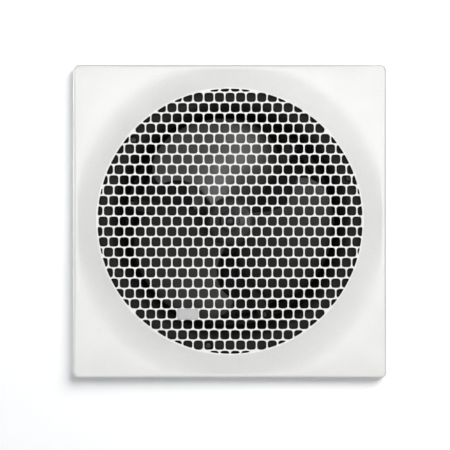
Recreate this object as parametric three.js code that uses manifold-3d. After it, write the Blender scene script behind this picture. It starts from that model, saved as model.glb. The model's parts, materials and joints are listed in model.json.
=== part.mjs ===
// Bathroom extractor fan for a 250 mm round cut-out and a 200 mm duct, in millimetres.
// +Z is up, the room is towards -Y, and the air leaves along +Y. The origin is on the fan's axis, in the
// middle of the fan's depth. Inside this file y is counted from the wall plane that the flange is clamped
// against. Angles round the axis are in degrees from +X towards +Z.

import * as THREE from 'three';
import { mergeVertices } from 'three/addons/utils/BufferGeometryUtils.js';
import Module from 'manifold-3d';

const wasm = await Module();
wasm.setup();

// Fascia: a square shell that swells to a round rim, which holds the grille.
const FASCIA_SIDE = 290;
const FASCIA_CORNER_R = 5;
const FASCIA_EDGE_R = 3;
const FASCIA_BACK_Y = -0.3;
const CORNER_Y = -10;
const RIM_Y = -17;
const RIM_R = 123.4;
const RISE_WIDTH = 30;
const RISE_SHARE = 0.95;
const SIDE_RISE = RISE_SHARE * (FASCIA_SIDE / 2 - FASCIA_EDGE_R - RIM_R);
const SHELL = 2.5;
const PEG_R = 3;
const PEG_OFFSET = 127;

// Grille: rows of four-sided holes, every other row moved half a pitch.
const GRILLE_R = 122;
const CELL_PITCH = 9.735;
const ROW_PITCH = 9.505;
const CELL_WIDTH = 8.5;
const CELL_HEIGHT = 8.56;
const GRILLE_THICKNESS = 3.4;
const SMALLEST_CELL = 3;
const BADGE_ROW = -9;
const BADGE_PROUD = 0.8;

// Housing: square flange, bell-mouth and round drum.
const FLANGE_SIDE = 278;
const FLANGE_FRONT_Y = -4.7;
const FLANGE_BACK_Y = -1.7;
const BELL_R = 113;
const BELL_DEPTH = 14;
const THROAT_R = 103;
const DRUM_R = 106;
const DRUM_END_Y = 100;

// Fan and motor.
const FAN_R = 99.5;
const HUB_R = 23;
const SHAFT_R = 3;
const FAN_FRONT_Y = 14;
const ARM_ANGLES = [50, 170, 290];
const ARM_FOOT_R = 96.5;
const ARM_Y = 62.5;
const MOTOR_ANGLE = 110;
const CORE_FRONT_Y = 72;
const CORE_BACK_Y = 92;

// Outlet spigot and backdraft damper.
const SPIGOT_R = 98.5;
const SPIGOT_BORE_R = 95.5;
const SPIGOT_END_Y = 155;
const DAMPER_Y = 121;
const FLAP_R = 94.3;
const SEAT_Y = DAMPER_Y - 1.1;
const SEAT_R = 92.4;
const SPIGOT_SCREW_ANGLES = [60, 180, 300];

// Mounting clamps, which grip the back of the board round the cut-out.
const CLAMP_ANGLES = [20, 140, 260];
const CLAMP_R = 117.5;
const LUG_Y = 64;

// Electrical box on the outside of the drum.
const BOX_ANGLE = 110;
const LEAD_Y = 82;
const LID_SCREW_Y = 39.5;
const GRIP_SCREWS_Z = [-12.6, -3.4];

const ROUND = 40;
const TURN = 2 * Math.PI;
const radians = THREE.MathUtils.degToRad;
const point = (x, y) => new THREE.Vector2(x, y);

// Turning a closed three.js geometry into a solid, and a solid into a geometry.

function signedVolume(position, triangles) {
  let sum = 0;
  const [a, b, c] = [new THREE.Vector3(), new THREE.Vector3(), new THREE.Vector3()];
  for (let i = 0; i < triangles.length; i += 3) {
    a.fromArray(position, 3 * triangles[i]);
    b.fromArray(position, 3 * triangles[i + 1]);
    c.fromArray(position, 3 * triangles[i + 2]);
    sum += a.dot(b.cross(c));
  }
  return sum;
}

function solid(geometry) {
  const plain = geometry.index ? geometry.toNonIndexed() : geometry.clone();
  plain.deleteAttribute('normal');
  plain.deleteAttribute('uv');
  const merged = mergeVertices(plain, 1e-3);
  const position = merged.attributes.position.array;
  const index = merged.index.array;
  const triangles = [];
  for (let i = 0; i < index.length; i += 3) {
    const [a, b, c] = [index[i], index[i + 1], index[i + 2]];
    if (a !== b && b !== c && c !== a) triangles.push(a, b, c);
  }
  if (signedVolume(position, triangles) < 0) triangles.reverse();
  return new wasm.Manifold(new wasm.Mesh({
    numProp: 3,
    vertProperties: Float32Array.from(position),
    triVerts: Uint32Array.from(triangles),
  }));
}

function join(first, ...others) {
  return others.reduce((sum, next) => sum.add(next), first);
}

function cut(first, ...others) {
  return others.reduce((rest, next) => rest.subtract(next), first);
}

function mesh(name, shape, finish, y = 0) {
  const made = shape.getMesh();
  const geometry = new THREE.BufferGeometry();
  geometry.setAttribute('position', new THREE.BufferAttribute(made.vertProperties, 3));
  geometry.setIndex(new THREE.BufferAttribute(made.triVerts, 1));
  geometry.computeVertexNormals();
  const [color, roughness, metalness] = finish;
  const material = new THREE.MeshStandardMaterial({ color, roughness, metalness });
  const part = new THREE.Mesh(geometry, material);
  part.name = name;
  part.position.y = y;
  return part;
}

// Basic shapes. Each is placed by its lowest and highest y, because the fan's axis is Y.

function box(x0, x1, y0, y1, z0, z1) {
  const geometry = new THREE.BoxGeometry(x1 - x0, y1 - y0, z1 - z0);
  return solid(geometry.translate((x0 + x1) / 2, (y0 + y1) / 2, (z0 + z1) / 2));
}

function rod(r, y0, y1, segments = 20, x = 0, z = 0) {
  const geometry = new THREE.CylinderGeometry(r, r, y1 - y0, segments);
  return solid(geometry.translate(x, (y0 + y1) / 2, z));
}

function rodAlongX(r, x0, x1, segments = 20, y = 0, z = 0) {
  const geometry = new THREE.CylinderGeometry(r, r, x1 - x0, segments);
  return solid(geometry.rotateZ(Math.PI / 2).translate((x0 + x1) / 2, y, z));
}

function rodAlongZ(r, z0, z1, segments = 20, x = 0, y = 0) {
  const geometry = new THREE.CylinderGeometry(r, r, z1 - z0, segments);
  return solid(geometry.rotateX(Math.PI / 2).translate(x, y, (z0 + z1) / 2));
}

// A closed profile of [radius, y] points turned about the fan's axis.
function turned(profile, segments = ROUND) {
  const closed = [...profile, profile[0]].map(([r, y]) => point(r, y));
  return solid(new THREE.LatheGeometry(closed, segments));
}

// A flat outline in x and z, made thick along y.
function plate(shape, y0, y1, curveSegments = 6) {
  const geometry = new THREE.ExtrudeGeometry(shape, {
    depth: y1 - y0, bevelEnabled: false, curveSegments,
  });
  return solid(geometry.rotateX(Math.PI / 2).translate(0, y1, 0));
}

function roundedRect(width, height, r) {
  const [x, z] = [width / 2, height / 2];
  const shape = new THREE.Shape();
  shape.moveTo(r - x, -z);
  shape.lineTo(x - r, -z);
  shape.absarc(x - r, r - z, r, -Math.PI / 2, 0, false);
  shape.lineTo(x, z - r);
  shape.absarc(x - r, z - r, r, 0, Math.PI / 2, false);
  shape.lineTo(r - x, z);
  shape.absarc(r - x, z - r, r, Math.PI / 2, Math.PI, false);
  shape.lineTo(-x, r - z);
  shape.absarc(r - x, r - z, r, Math.PI, 1.5 * Math.PI, false);
  return shape;
}

// A group whose own +X points outwards at an angle round the fan's axis.
function arm(angle, ...parts) {
  const group = new THREE.Group();
  group.rotation.y = -radians(angle);
  group.add(...parts);
  return group;
}

const turnedBy = (shape, angle) => shape.rotate([0, -angle, 0]);

// A screw with a slotted head at y = 0 and its shank along +Y.
function screw(headR, headHeight, shankR, length) {
  const blank = turned([
    [0, 0], [0.8 * headR, 0], [headR, 0.5 * headHeight], [headR, headHeight],
    [shankR, headHeight], [shankR, length], [0, length],
  ], 8);
  const slot = 0.13 * headR;
  return cut(blank, box(-headR, headR, -1, 0.4 * headHeight, -slot, slot));
}

// Fascia.

// Height of the front. It falls away straight towards the middle of a side, and in a curve towards a corner.
function fasciaFront(r, rise) {
  const fall = 1 - THREE.MathUtils.clamp((r - RIM_R) / rise, 0, 1);
  const bend = 1 + (rise - SIDE_RISE) / (RISE_WIDTH - SIDE_RISE);
  return CORNER_Y + (RIM_Y - CORNER_Y) * fall ** bend;
}

// Section of the fascia from its rim out to a point of its edge, as a closed loop.
function fasciaSection(reach) {
  const rise = Math.min(RISE_WIDTH, RISE_SHARE * (reach - FASCIA_EDGE_R - RIM_R));
  const section = [];
  for (const t of [0, 0.25, 0.55, 1]) {
    const r = RIM_R + rise * t;
    section.push([r, fasciaFront(r, rise)]);
  }
  for (const turn of [0, 45, 90]) {
    section.push([
      reach - FASCIA_EDGE_R * (1 - Math.sin(radians(turn))),
      CORNER_Y + FASCIA_EDGE_R * (1 - Math.cos(radians(turn))),
    ]);
  }
  section.push([reach, FASCIA_BACK_Y], [reach - SHELL, FASCIA_BACK_Y], [reach - SHELL, CORNER_Y + SHELL]);
  const pocketR = RIM_R + 2.2;
  for (const r of [RIM_R + rise, RIM_R + 0.4 * rise, pocketR]) {
    section.push([Math.min(r, reach - SHELL - 0.4), fasciaFront(r, rise) + SHELL]);
  }
  section.push([pocketR, RIM_Y + SHELL], [RIM_R, RIM_Y + SHELL], section[0]);
  return section;
}

// Points round the square edge, closer together at the corners.
function fasciaEdge() {
  const flat = FASCIA_SIDE / 2 - FASCIA_CORNER_R;
  const step = 360 / ROUND;
  const side = [point(FASCIA_SIDE / 2, -flat)];
  for (let turn = -4 * step; turn <= 4 * step; turn += step) {
    side.push(point(FASCIA_SIDE / 2, FASCIA_SIDE / 2 * Math.tan(radians(turn))));
  }
  side.push(point(FASCIA_SIDE / 2, flat));
  for (const turn of [30, 60]) {
    side.push(point(FASCIA_CORNER_R, 0).rotateAround(point(0, 0), radians(turn)).addScalar(flat));
  }
  const edge = [];
  for (let quarter = 0; quarter < 4; quarter++) {
    for (const p of side) edge.push(p.clone().rotateAround(point(0, 0), quarter * TURN / 4));
  }
  return edge;
}

function fascia() {
  const edge = fasciaEdge();
  const count = fasciaSection(FASCIA_SIDE / 2).length;
  const rings = Array.from({ length: count }, (_, i) => point(1, i));
  const shell = new THREE.LatheGeometry(rings, edge.length);
  for (let i = 0; i <= edge.length; i++) {
    const p = edge[i % edge.length];
    fasciaSection(p.length()).forEach(([r, y], j) => {
      const scale = r / p.length();
      shell.attributes.position.setXYZ(i * count + j, p.x * scale, y, p.y * scale);
    });
  }
  const pegs = [];
  for (const x of [-PEG_OFFSET, PEG_OFFSET]) {
    for (const z of [-PEG_OFFSET, PEG_OFFSET]) {
      pegs.push(rod(PEG_R, CORNER_Y + SHELL - 1, -0.6, 10, x, z));
    }
  }
  return join(solid(shell), ...pegs);
}

// Grille.

function grille() {
  const seatR = RIM_R + 1.7;
  const frontR = RIM_R - 0.5;
  const seatY = RIM_Y + SHELL + 0.1;
  const back = RIM_Y + GRILLE_THICKNESS;
  const disc = turned([[0, RIM_Y], [frontR, RIM_Y], [frontR, seatY], [seatR, seatY], [seatR, back], [0, back]]);
  const rows = Math.ceil(GRILLE_R / ROW_PITCH);
  const columns = Math.ceil(GRILLE_R / CELL_PITCH);
  const cells = [];
  for (let row = -rows; row <= rows; row++) {
    const shift = row % 2 ? CELL_PITCH / 2 : 0;
    for (let column = -columns - 1; column <= columns; column++) {
      const [x, z] = [column * CELL_PITCH + shift, row * ROW_PITCH];
      if (Math.hypot(x, z) > GRILLE_R + CELL_PITCH) continue;
      cells.push(box(
        x - CELL_WIDTH / 2, x + CELL_WIDTH / 2, RIM_Y - 1, back + 1, z - CELL_HEIGHT / 2, z + CELL_HEIGHT / 2,
      ));
    }
  }
  const field = wasm.Manifold.union(cells).intersect(rod(GRILLE_R, RIM_Y - 1, back + 1, ROUND));
  const depth = GRILLE_THICKNESS + 2;
  const holes = field.decompose().filter((hole) => hole.volume() > SMALLEST_CELL * depth);
  return cut(disc, wasm.Manifold.union(holes));
}

// Blank badge over two cells, on the front of the bars.
function badge() {
  const width = CELL_PITCH + CELL_WIDTH + 1;
  const shape = roundedRect(width, CELL_HEIGHT + 1.4, 1.2);
  return plate(shape, RIM_Y - BADGE_PROUD, RIM_Y - 0.1, 3).translate([-4 * CELL_PITCH, 0, BADGE_ROW * ROW_PITCH]);
}

// Housing.

function drum() {
  const bell = [];
  const lip = BELL_R + 3;
  const bellY = FLANGE_FRONT_Y + BELL_DEPTH;
  const wall = DRUM_R - THROAT_R;
  const steps = [0, 40, 90];
  for (const turn of steps) {
    bell.push([
      BELL_R - (BELL_R - THROAT_R) * Math.sin(radians(turn)),
      bellY - BELL_DEPTH * Math.cos(radians(turn)),
    ]);
  }
  bell.push([THROAT_R, DRUM_END_Y], [DRUM_R, DRUM_END_Y]);
  for (const turn of steps.slice(1).reverse()) {
    bell.push([
      BELL_R - (BELL_R - DRUM_R) * Math.sin(radians(turn)),
      bellY - (BELL_DEPTH - wall) * Math.cos(radians(turn)),
    ]);
  }
  return turned([[lip, FLANGE_FRONT_Y], ...bell, [BELL_R, FLANGE_BACK_Y], [lip, FLANGE_BACK_Y]]);
}

function flange() {
  const shape = roundedRect(FLANGE_SIDE, FLANGE_SIDE, 4);
  const hole = rod(BELL_R + 1.5, FLANGE_FRONT_Y - 1, FLANGE_BACK_Y + 1, ROUND);
  return cut(plate(shape, FLANGE_FRONT_Y, FLANGE_BACK_Y, 3), hole);
}

function spigotScrewHoles() {
  const hole = rodAlongX(2, THROAT_R - 1, DRUM_R + 5, 8, DRUM_END_Y - 5);
  return SPIGOT_SCREW_ANGLES.map((angle) => turnedBy(hole, angle));
}

function housing() {
  const grown = [];
  const bored = spigotScrewHoles();
  for (const x of [-PEG_OFFSET, PEG_OFFSET]) {
    for (const z of [-PEG_OFFSET, PEG_OFFSET]) {
      grown.push(rod(5.5, CORNER_Y + SHELL + 0.5, FLANGE_BACK_Y - 0.5, 12, x, z));
      bored.push(rod(PEG_R + 0.4, -12, 2, 10, x, z));
    }
  }
  for (const angle of CLAMP_ANGLES) {
    grown.push(turnedBy(box(THROAT_R + 1.5, 123, LUG_Y, LUG_Y + 3, -6, 6), angle));
    bored.push(turnedBy(rod(2.6, -12, LUG_Y + 8, 12, CLAMP_R), angle));
  }
  const bossY = ARM_Y + 4.3;
  for (const angle of ARM_ANGLES) {
    const boss = join(
      rod(5.5, bossY, bossY + 16, 12, ARM_FOOT_R),
      box(ARM_FOOT_R, THROAT_R + 1.5, bossY, bossY + 16, -3, 3),
    );
    grown.push(turnedBy(boss, angle));
    bored.push(turnedBy(rod(1.9, bossY - 2, bossY + 14, 8, ARM_FOOT_R), angle));
  }
  bored.push(turnedBy(rodAlongX(4.6, THROAT_R - 4, DRUM_R + 4, 12, LEAD_Y), BOX_ANGLE));
  return cut(join(drum(), flange(), ...grown), ...bored);
}

function wallGasket() {
  return turned([[127.5, -1.6], [137, -1.6], [137, 0], [127.5, 0]]);
}

// Fan: a hub with three wide blades whose leading edges are rounded and nearest the room.

function fanHub() {
  const front = FAN_FRONT_Y;
  return turned([
    [SHAFT_R + 0.1, front + 1], [9, front + 1], [9, front + 4], [19, front + 5.5], [22, front + 7.5],
    [HUB_R, front + 11], [HUB_R, front + 36], [HUB_R - 2.5, front + 36], [HUB_R - 2.5, front + 10],
    [9.5, front + 8], [8, front + 38], [SHAFT_R + 0.1, front + 38],
  ], 24);
}

// Place on a blade: u runs from the leading edge to the trailing edge, v from the hub to the tip.
function bladePoint(u, v, side) {
  const tip = 73.5 + (FAN_R - 73.5) * (1 - 0.2 * u ** 2) * (1 - Math.abs(2 * u - 1) ** 3.2) ** 0.55;
  const root = HUB_R - 1.5;
  const r = root + (tip - root) * v;
  const leading = 141 - 36.6 * v + 47.6 * v ** 2;
  const trailing = 39 + 6 * v + 8 * v ** 2;
  const angle = radians(THREE.MathUtils.lerp(leading, trailing, u));
  const pitch = 22 + 14 * v;
  const camber = (3 + 3 * v) * 4 * u * (1 - u);
  const thickness = 3 - 1.2 * v;
  const y = FAN_FRONT_Y + 20 + pitch * (u - 0.5) - camber + side * thickness;
  return new THREE.Vector3(r * Math.cos(angle), y, r * Math.sin(angle));
}

function blade() {
  const geometry = new THREE.BoxGeometry(1, 1, 1, 9, 1, 4);
  const position = geometry.attributes.position;
  for (let i = 0; i < position.count; i++) {
    const p = bladePoint(position.getX(i) + 0.5, position.getZ(i) + 0.5, position.getY(i));
    position.setXYZ(i, p.x, p.y, p.z);
  }
  return solid(geometry);
}

function impeller() {
  const one = blade();
  return join(fanHub(), one, turnedBy(one, 120), turnedBy(one, 240));
}

// Cap nut, closed towards the room. The hexagon starts at y = 0.
function fanNut() {
  const dome = turned([[0, -1.8], [2.4, -1.5], [4.2, -0.6], [4.8, 0.5], [0, 0.5]], 12);
  return cut(join(rod(5.8, 0, 4.6, 6), dome), rod(SHAFT_R + 0.1, 1, 6, 14));
}

function fanWasher() {
  return cut(rod(6.8, 0, 1, 16), rod(SHAFT_R + 0.1, -1, 2, 14));
}

function shaft() {
  return turned([[0, 10.6], [2.4, 10.6], [SHAFT_R, 11.6], [SHAFT_R, 105], [2.4, 106], [0, 106]], 14);
}

function rotorCore() {
  return cut(rod(13, CORE_FRONT_Y, CORE_BACK_Y, 24), rod(SHAFT_R + 0.1, 60, 110, 14));
}

// Motor. Its own +X points towards the coil.

function statorCore() {
  const body = plate(roundedRect(54, 58, 3), CORE_FRONT_Y, CORE_BACK_Y, 1);
  const legs = [1, -1].map((side) => box(
    26, 50, CORE_FRONT_Y, CORE_BACK_Y, Math.min(side * 17, side * 27), Math.max(side * 17, side * 27),
  ));
  const ringHoles = [[-6, 16.5], [-16, 8.5], [6, -16.5], [16, -8.5]].map(
    ([x, z]) => box(x - 1.3, x + 1.3, 60, 110, z - 1.3, z + 1.3),
  );
  const screwHoles = [23, -23].map((z) => rod(2.4, 60, 110, 8, 0, z));
  return cut(join(body, ...legs), rod(13.5, 60, 110, 24), ...ringHoles, ...screwHoles);
}

function statorYoke() {
  return box(50.2, 62.2, CORE_FRONT_Y, CORE_BACK_Y, -27, 27);
}

// A square tube round the yoke, from one flange to the other.
function sleeveRoundYoke(grow, halfLength) {
  const [x0, x1] = [50.2 - grow, 62.2 + grow];
  return box(x0, x1, CORE_FRONT_Y - grow, CORE_BACK_Y + grow, -halfLength, halfLength);
}

function bobbin() {
  const flanges = [[-16.3, -14.8], [14.8, 16.3]].map(([z0, z1]) => box(39.8, 72.6, 61, 103, z0, z1));
  return cut(join(sleeveRoundYoke(1.5, 16.3), ...flanges), sleeveRoundYoke(0.2, 20));
}

function coil() {
  const shape = roundedRect(29.6, 38.6, 7);
  const geometry = new THREE.ExtrudeGeometry(shape, { depth: 29, bevelEnabled: false, curveSegments: 4 });
  const block = solid(geometry.translate(56.2, (CORE_FRONT_Y + CORE_BACK_Y) / 2, -14.5));
  return cut(block, sleeveRoundYoke(1.7, 20));
}

// Copper loop through two slots of the core, round part of a pole.
function shadingRing() {
  const [ax, az, bx, bz] = [-6, 16.5, -16, 8.5];
  const half = 0.9;
  const length = Math.hypot(ax - bx, az - bz);
  const lean = THREE.MathUtils.radToDeg(Math.atan2(az - bz, ax - bx));
  const bars = [
    box(-half, length + half, CORE_FRONT_Y - 2.1, CORE_FRONT_Y - 0.3, -half, half),
    box(-half, length + half, CORE_BACK_Y + 0.3, CORE_BACK_Y + 2.1, -half, half),
    box(-half, half, CORE_FRONT_Y - 2.1, CORE_BACK_Y + 2.1, -half, half),
    box(length - half, length + half, CORE_FRONT_Y - 2.1, CORE_BACK_Y + 2.1, -half, half),
  ];
  const ring = bars.reduce((sum, bar) => sum.add(bar));
  return turnedBy(ring, lean).translate([bx, 0, bz]);
}

// Bridge over one face of the core, with feet at its ends and a cup for the bearing.
function bearingBracket() {
  const bridge = plate(roundedRect(18, 60, 4), 3.2, 5.7, 2);
  const feet = [23, -23].map((z) => box(-4.5, 4.5, 0.3, 4, z - 4.5, z + 4.5));
  const holes = [23, -23].map((z) => rod(2.4, -2, 8, 8, 0, z));
  const cup = rod(9, 3.2, 12, 14);
  return cut(join(bridge, ...feet, cup), rod(6.4, -2, 14, 14), ...holes);
}

function bearing() {
  return cut(rod(6.1, 0, 7.5, 14), rod(SHAFT_R + 0.2, -1, 9, 14));
}

// Three-armed plate that holds the motor in the middle of the drum.
function motorCarrier() {
  const [front, back] = [ARM_Y, ARM_Y + 3];
  const arms = ARM_ANGLES.map((angle) => turnedBy(join(
    box(20, ARM_FOOT_R, front, back, -5.5, 5.5),
    box(22, ARM_FOOT_R - 8, back - 0.5, back + 4, -1.2, 1.2),
    rod(6, front, back, 8, ARM_FOOT_R),
  ), angle));
  const holes = ARM_ANGLES.map((angle) => turnedBy(rod(3.8, 0, 90, 8, ARM_FOOT_R), angle));
  const motorHoles = [1, -1].map((side) => turnedBy(rod(2.3, 0, 90, 8, 0, side * 23), MOTOR_ANGLE));
  const disc = rod(31, front, back, 24);
  return cut(join(disc, ...arms), rod(13, 0, 90, 18), ...holes, ...motorHoles);
}

// Rubber bush in an arm's foot, with a lip on each side of it.
function carrierGrommet() {
  const [front, back] = [ARM_Y, ARM_Y + 3];
  return turned([
    [2, front - 1.2], [5, front - 1.2], [5, front - 0.1], [3.4, front - 0.1], [3.4, back + 0.1],
    [5, back + 0.1], [5, back + 1.1], [2, back + 1.1],
  ], 8).translate([ARM_FOOT_R, 0, 0]);
}

function motor() {
  const laminations = ['#3c3a38', 0.55, 0.5];
  const steel = ['#a7aaad', 0.35, 1];
  const zinc = ['#b9bbbd', 0.4, 0.9];
  const bronze = ['#9c7a45', 0.5, 0.9];
  const copper = ['#b56a3a', 0.3, 1];
  const frontBracket = bearingBracket().rotate([180, 0, 0]);
  const motorScrew = screw(3.6, 2.2, 1.9, 37).rotate([180, 0, 0]);
  return arm(
    MOTOR_ANGLE,
    mesh('stator_core', statorCore(), laminations),
    mesh('stator_yoke', statorYoke(), laminations),
    mesh('coil_bobbin', bobbin(), ['#2b2c2e', 0.6, 0]),
    mesh('motor_coil', coil(), copper),
    mesh('shading_ring_left', shadingRing(), copper),
    mesh('shading_ring_right', turnedBy(shadingRing(), 180), copper),
    mesh('bearing_bracket_front', frontBracket, zinc, CORE_FRONT_Y),
    mesh('bearing_bracket_rear', bearingBracket(), zinc, CORE_BACK_Y),
    mesh('bearing_front', bearing(), bronze, CORE_FRONT_Y - 11.5),
    mesh('bearing_rear', bearing(), bronze, CORE_BACK_Y + 4),
    mesh('motor_screw_upper', motorScrew.translate([0, 0, 23]), steel, CORE_BACK_Y + 8.2),
    mesh('motor_screw_lower', motorScrew.translate([0, 0, -23]), steel, CORE_BACK_Y + 8.2),
  );
}

function carrier() {
  const group = new THREE.Group();
  group.add(mesh('motor_carrier', motorCarrier(), ['#2b2c2e', 0.5, 0.3]));
  ARM_ANGLES.forEach((angle, i) => {
    const fixing = screw(4.2, 2.4, 1.7, 19).translate([ARM_FOOT_R, 0, 0]);
    group.add(arm(
      angle,
      mesh(`carrier_grommet_${i + 1}`, carrierGrommet(), ['#1b1b1c', 0.85, 0]),
      mesh(`carrier_screw_${i + 1}`, fixing, ['#2e2f31', 0.45, 0.8], ARM_Y - 3.8),
    ));
  });
  return group;
}

function rotor() {
  const blackSteel = ['#2e2f31', 0.45, 0.8];
  const group = new THREE.Group();
  group.add(
    mesh('impeller', impeller(), ['#4a484a', 0.45, 0]),
    mesh('impeller_nut', fanNut(), blackSteel, FAN_FRONT_Y - 4.8),
    mesh('impeller_washer', fanWasher(), blackSteel, FAN_FRONT_Y - 0.1),
    mesh('motor_shaft', shaft(), ['#a7aaad', 0.35, 1]),
    mesh('rotor_core', rotorCore(), ['#3c3a38', 0.55, 0.5]),
  );
  return group;
}

// Electrical box. Its own +X points outwards from the drum, and its length is along Y.

function terminalBox() {
  const [x0, x1, y0, y1, half] = [106.6, 119.6, 32, 89, 20];
  const outer = box(x0, x1, y0, y1, -half, half);
  const inner = box(x0 + 1.8, x1 + 1, y0 + 1.8, y1 - 1.8, 1.8 - half, half - 1.8);
  const post = rodAlongX(3.2, x0 + 1, x1 - 0.1, 8, LID_SCREW_Y, 0);
  return cut(
    join(cut(outer, inner), post),
    rodAlongX(1.2, x0 + 4, x1 + 1, 8, LID_SCREW_Y, 0),
    rodAlongX(7, x0 - 1, x0 + 3, 12, LEAD_Y),
    rod(4, y1 - 3, y1 + 3, 12, x0 + 7, -8),
  );
}

function terminalCover() {
  const lid = box(119.8, 121.8, 32, 89, -20, 20);
  const lip = cut(box(118, 120, 34.1, 86.9, -17.9, 17.9), box(117, 119.9, 35.6, 85.4, -16.4, 16.4));
  return cut(join(lid, lip), rodAlongX(1.9, 117, 123, 8, LID_SCREW_Y, 0));
}

// Three-way connector block with wire holes across it and screw wells on top.
function terminalBlock() {
  const base = box(108.7, 112.5, 46, 70, -7, 7);
  const towers = [50, 58, 66].map((y) => box(112, 117, y - 3, y + 3, -5, 5));
  const wells = [50, 58, 66].map((y) => rodAlongX(1.8, 114, 118, 8, y, 0));
  const wireHoles = [50, 58, 66].map((y) => rodAlongZ(1.3, -8, 8, 6, 112.2, y));
  return cut(join(base, ...towers), ...wells, ...wireHoles);
}

function cordGrip() {
  const holes = GRIP_SCREWS_Z.map((z) => rodAlongX(1.6, 110, 120, 8, 78.5, z));
  return cut(box(113.6, 116.2, 76, 81, -15.4, -0.6), ...holes);
}

// Wall grommet in the drum, for the motor lead.
function leadGrommet() {
  const ring = turned([
    [2.5, 100.9], [6.2, 100.9], [6.2, 102.2], [4.2, 102.4], [4.2, 106.3], [6, 106.4], [6, 107.6], [2.5, 107.6],
  ], 12);
  return ring.rotate([0, 0, -90]).translate([0, LEAD_Y, 0]);
}

// Sheathed lead from the coil, through the drum wall to the connector block.
function motorLead() {
  const path = new THREE.CatmullRomCurve3([
    new THREE.Vector3(73.2, 98, 0), new THREE.Vector3(80, 96, 0), new THREE.Vector3(90, 84, 0),
    new THREE.Vector3(99, LEAD_Y, 0), new THREE.Vector3(108, LEAD_Y, 0), new THREE.Vector3(112, 80, 3),
    new THREE.Vector3(113, 73.5, 6),
  ]);
  const circle = new THREE.Shape();
  circle.absarc(0, 0, 2.1, 0, TURN, false);
  return solid(new THREE.ExtrudeGeometry(circle, { steps: 12, extrudePath: path, curveSegments: 3 }));
}

function electrics() {
  const zinc = ['#c9cbcd', 0.3, 1];
  const black = ['#222326', 0.5, 0];
  const lidScrew = screw(3.2, 1.8, 1, 12).rotate([0, 0, 90]);
  const gripScrew = screw(2.6, 1.6, 1.2, 8).rotate([0, 0, 90]);
  return arm(
    BOX_ANGLE,
    mesh('terminal_box', terminalBox(), black),
    mesh('terminal_cover', terminalCover(), black),
    mesh('terminal_cover_screw', lidScrew.translate([123.7, LID_SCREW_Y, 0]), zinc),
    mesh('terminal_block', terminalBlock(), ['#dedbd2', 0.4, 0]),
    mesh('cord_grip', cordGrip(), black),
    mesh('cord_grip_screw_left', gripScrew.translate([117.9, 78.5, GRIP_SCREWS_Z[0]]), zinc),
    mesh('cord_grip_screw_right', gripScrew.translate([117.9, 78.5, GRIP_SCREWS_Z[1]]), zinc),
    mesh('lead_grommet', leadGrommet(), ['#1b1b1c', 0.85, 0]),
    mesh('motor_lead', motorLead(), ['#d8d8d4', 0.5, 0]),
  );
}

// Outlet spigot, with a seat round the closed flaps, a cross bar in front of them and ears for their pin.
function spigot() {
  const tube = turned([
    [DRUM_R + 0.3, DRUM_END_Y - 9], [DRUM_R + 2.8, DRUM_END_Y - 9], [DRUM_R + 2.8, DRUM_END_Y + 2],
    [SPIGOT_R, DRUM_END_Y + 6], [SPIGOT_R, SPIGOT_END_Y], [SPIGOT_BORE_R, SPIGOT_END_Y],
    [SPIGOT_BORE_R, SEAT_Y], [SEAT_R, SEAT_Y], [SPIGOT_BORE_R, SEAT_Y - 4],
    [SPIGOT_BORE_R, DRUM_END_Y + 3], [DRUM_R - 1, DRUM_END_Y + 0.3], [DRUM_R + 0.3, DRUM_END_Y + 0.3],
  ]);
  const reach = SPIGOT_BORE_R + 1;
  const bar = box(-7, 7, DAMPER_Y - 9, DAMPER_Y - 5.6, -reach, reach);
  const ears = [0, 94, -94].map((z) => box(
    -2.5, 2.5, DAMPER_Y - 7, DAMPER_Y + 3.5, z - (z ? 2 : 2.5), z + (z ? 2 : 2.5),
  ));
  return cut(join(tube, bar, ...ears), rodAlongZ(1.9, -95, 95, 8, 0, DAMPER_Y), ...spigotScrewHoles());
}

// Half-round flap, closed, on the +X side. Its knuckles sit at the given heights on the pin.
function flap(knuckles) {
  const shape = new THREE.Shape();
  const start = 5;
  const top = Math.sqrt(FLAP_R ** 2 - start ** 2);
  shape.moveTo(start, -top);
  shape.absarc(0, 0, FLAP_R, -Math.acos(start / FLAP_R), Math.acos(start / FLAP_R), false);
  const sheet = plate(shape, DAMPER_Y - 0.75, DAMPER_Y + 0.75, 20);
  const rib = box(12, 80, DAMPER_Y + 0.5, DAMPER_Y + 3, -1, 1);
  const tabs = knuckles.map((z) => join(
    box(0, start + 2, DAMPER_Y - 0.75, DAMPER_Y + 0.75, z - 7, z + 7),
    rodAlongZ(3.2, z - 7, z + 7, 8, 0, DAMPER_Y),
  ));
  return cut(join(sheet, rib, ...tabs), rodAlongZ(1.9, -95, 95, 8, 0, DAMPER_Y));
}

// Torsion spring on the damper's pin, with a leg behind each flap.
function damperSpring() {
  const [coilR, wireR, coils, pitch] = [4.4, 0.45, 3, 1.3];
  const steps = 6;
  const middle = coils / 2 * pitch;
  const points = [new THREE.Vector3(22, coilR, -middle), new THREE.Vector3(6, coilR, -middle)];
  for (let i = 0; i <= coils * steps; i++) {
    const angle = TURN * (0.25 + i / steps);
    points.push(new THREE.Vector3(
      coilR * Math.cos(angle), coilR * Math.sin(angle), i / steps * pitch - middle,
    ));
  }
  points.push(new THREE.Vector3(-6, coilR, middle), new THREE.Vector3(-22, coilR, middle));
  const path = new THREE.CatmullRomCurve3(points, false, 'centripetal');
  const wire = new THREE.Shape();
  wire.absarc(0, 0, wireR, 0, TURN, false);
  return solid(new THREE.ExtrudeGeometry(wire, { steps: 34, extrudePath: path, curveSegments: 2 }));
}

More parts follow.
